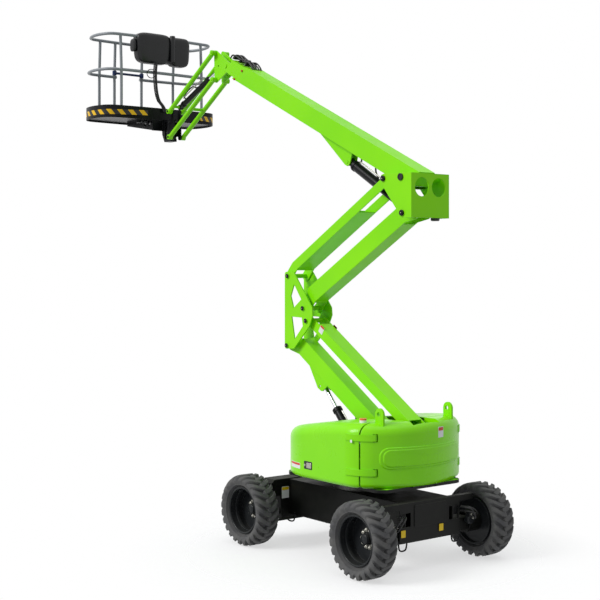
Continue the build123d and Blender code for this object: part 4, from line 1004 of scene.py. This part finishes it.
lugs = [lifting_lug((-0.824, side * 0.482, 1.585)) for side in (-1, 1)]
put("lifting_lugs", lugs, lime_powder_coat, "turret", 30)
print("lifting eye:", 2000 * EYE, "mm across")

# %% [markdown]
# ## Cable loop on the rail
# A control cable is wound once into a loop and tied to the guard rail beside the console. It is held
# in place, so it is a plain pipe round a flattened circle.

# %% Cable loop
LOOP_CENTRE, LOOP_RADIUS, CABLE_RADIUS = (4.052, 0.222, 5.655), 0.058, 0.0055
turn = np.linspace(0, 2 * np.pi, 40)[:, None]
cable_loop = LOOP_CENTRE + LOOP_RADIUS * (np.cos(turn) * (0.25, 1, 0) + np.sin(turn) * (0, 0, 1))
put("rail_cable_loop", [pipe(cable_loop, CABLE_RADIUS, 8, (1, -0.25, 0.05))], hose_rubber, "basket")

# %% [markdown]
# ## Stage, light and camera
# The photograph is a cut-out on white with a soft shadow under the wheels. A disc of pale floor
# keeps that shadow and fades out with the distance from the machine, so no horizon shows. The world
# is white to the camera and to reflections, and plain soft light to everything else. The main light
# stands on the machine's left, as in the photograph, so the sides glow and the rear falls darker.

# %% Floor
FLOOR_FADES_FROM, FLOOR_ENDS, FLOOR_THINNED, FLOOR_DROP, SPECKLE_MM = 1.5, 2.7, 0.60, 0.001, 30
floor_material, tree, place = new_finish("pale_floor")
tone = layered(tree, "F4F4F4", (blotches(tree, place, SPECKLE_MM, 3, 0, 1), "FAFAFA"))
matt = add(tree, "ShaderNodeBsdfPrincipled", {"Base Color": tone, "Roughness": 0.9}, "BSDF")
reach = add(tree, "ShaderNodeVectorMath", {0: place}, "Value", operation="LENGTH")
faded = {"Value": reach, "From Min": FLOOR_FADES_FROM, "From Max": FLOOR_ENDS, "To Min": FLOOR_THINNED}
faded = add(tree, "ShaderNodeMapRange", faded, "Result")
clear = add(tree, "ShaderNodeBsdfTransparent", out=0)
mixed = add(tree, "ShaderNodeMixShader", {0: faded, 1: matt, 2: clear}, 0)
add(tree, "ShaderNodeOutputMaterial", {"Surface": mixed})
turn = np.linspace(0, 2 * np.pi, 64, endpoint=False)
rim = FLOOR_ENDS * 1.05 * np.stack((np.cos(turn), np.sin(turn), 0 * turn), -1) - (0, 0, FLOOR_DROP)
floor_mesh = bpy.data.meshes.new("floor")
floor_mesh.from_pydata(rim.tolist(), [], [list(range(len(rim)))])
floor_mesh.materials.append(floor_material)
floor = bpy.data.objects.new("floor", floor_mesh)
bpy.context.scene.collection.objects.link(floor)
floor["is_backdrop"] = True
print("floor fades out by", FLOOR_ENDS, "m")

# %% World and lamps
SOFT_LIGHT, SOFT_COLOUR = 0.43, "F4F8FF"
world = bpy.data.worlds.new("studio")
bpy.context.scene.world = world
world.use_nodes = True
tree = world.node_tree
tree.nodes.clear()
soft = add(tree, "ShaderNodeBackground", {"Color": linear(SOFT_COLOUR), "Strength": SOFT_LIGHT}, 0)
white = add(tree, "ShaderNodeBackground", {"Color": linear("FFFFFF"), "Strength": 1.0}, 0)
ray = add(tree, "ShaderNodeLightPath").outputs
seen = {0: ray["Is Camera Ray"], 1: ray["Is Glossy Ray"]}
seen = add(tree, "ShaderNodeMath", seen, 0, operation="MAXIMUM")
seen = add(tree, "ShaderNodeMath", {0: seen, 1: ray["Is Transmission Ray"]}, 0, operation="MAXIMUM")
shown = add(tree, "ShaderNodeMixShader", {0: seen, 1: soft, 2: white}, 0)
add(tree, "ShaderNodeOutputWorld", {"Surface": shown})


def sun(name, towards, strength, spread_deg):
    """A sun lamp that shines along towards; spread is how wide its disc looks, in degrees.

    A lamp shines along -z. The quaternion that turns -z to (x, y, z) the short way is
    (1 - z, y, -x, 0) / sqrt(2 (1 - z))."""
    lamp = bpy.data.lights.new(name, "SUN")
    lamp.energy, lamp.angle = strength, np.radians(spread_deg)
    made = bpy.data.objects.new(name, lamp)
    bpy.context.scene.collection.objects.link(made)
    made.rotation_mode = "QUATERNION"
    x, y, z = unit(towards)
    made.rotation_quaternion = (1 - z, y, -x, 0) / np.sqrt(2 * (1 - z))


sun("key_light", (-0.25, -0.85, -0.62), 2.25, 25)
sun("top_light", (0.15, 0.10, -1.0), 0.8, 60)
print("lamps:", [lamp.name for lamp in bpy.data.lights])

# %% [markdown]
# ## The photograph's view
# The camera stands low behind the machine's left side and looks level. Upright edges stay upright in
# the photograph, so the picture is shifted up and not tilted. The columns of the camera's matrix are
# its right, its up, the way back from the view, and its place.

# %% Camera
CAMERA_SPOT, CAMERA_AHEAD = (-10.13, 8.77, 3.093), (0.788, -0.615, 0.0)
LENS, SENSOR, HORIZON_SHIFT, VIEW_ENDS = 73.8, 36.0, -0.0578, 60
back = -unit(CAMERA_AHEAD)
right = unit(np.cross(UPRIGHT, back))
columns = np.column_stack((right, UPRIGHT, back, CAMERA_SPOT))
view = bpy.data.cameras.new("photo_view")
view.lens, view.sensor_width, view.shift_y, view.clip_end = LENS, SENSOR, HORIZON_SHIFT, VIEW_ENDS
camera = bpy.data.objects.new("photo_view", view)
bpy.context.scene.collection.objects.link(camera)
camera.matrix_world = Matrix(np.vstack((columns, (0, 0, 0, 1))).tolist())
bpy.context.scene.camera = camera
bpy.context.scene.view_settings.view_transform = "Standard"
print("camera looks along", (-back).round(3))

# %% Size and finish
visual_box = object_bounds()
plain = lambda box: [[float(v) for v in corner] for corner in box]
{"cad": plain(cad_box), "visual": plain(visual_box)}
print("visual box:", plain(visual_box))
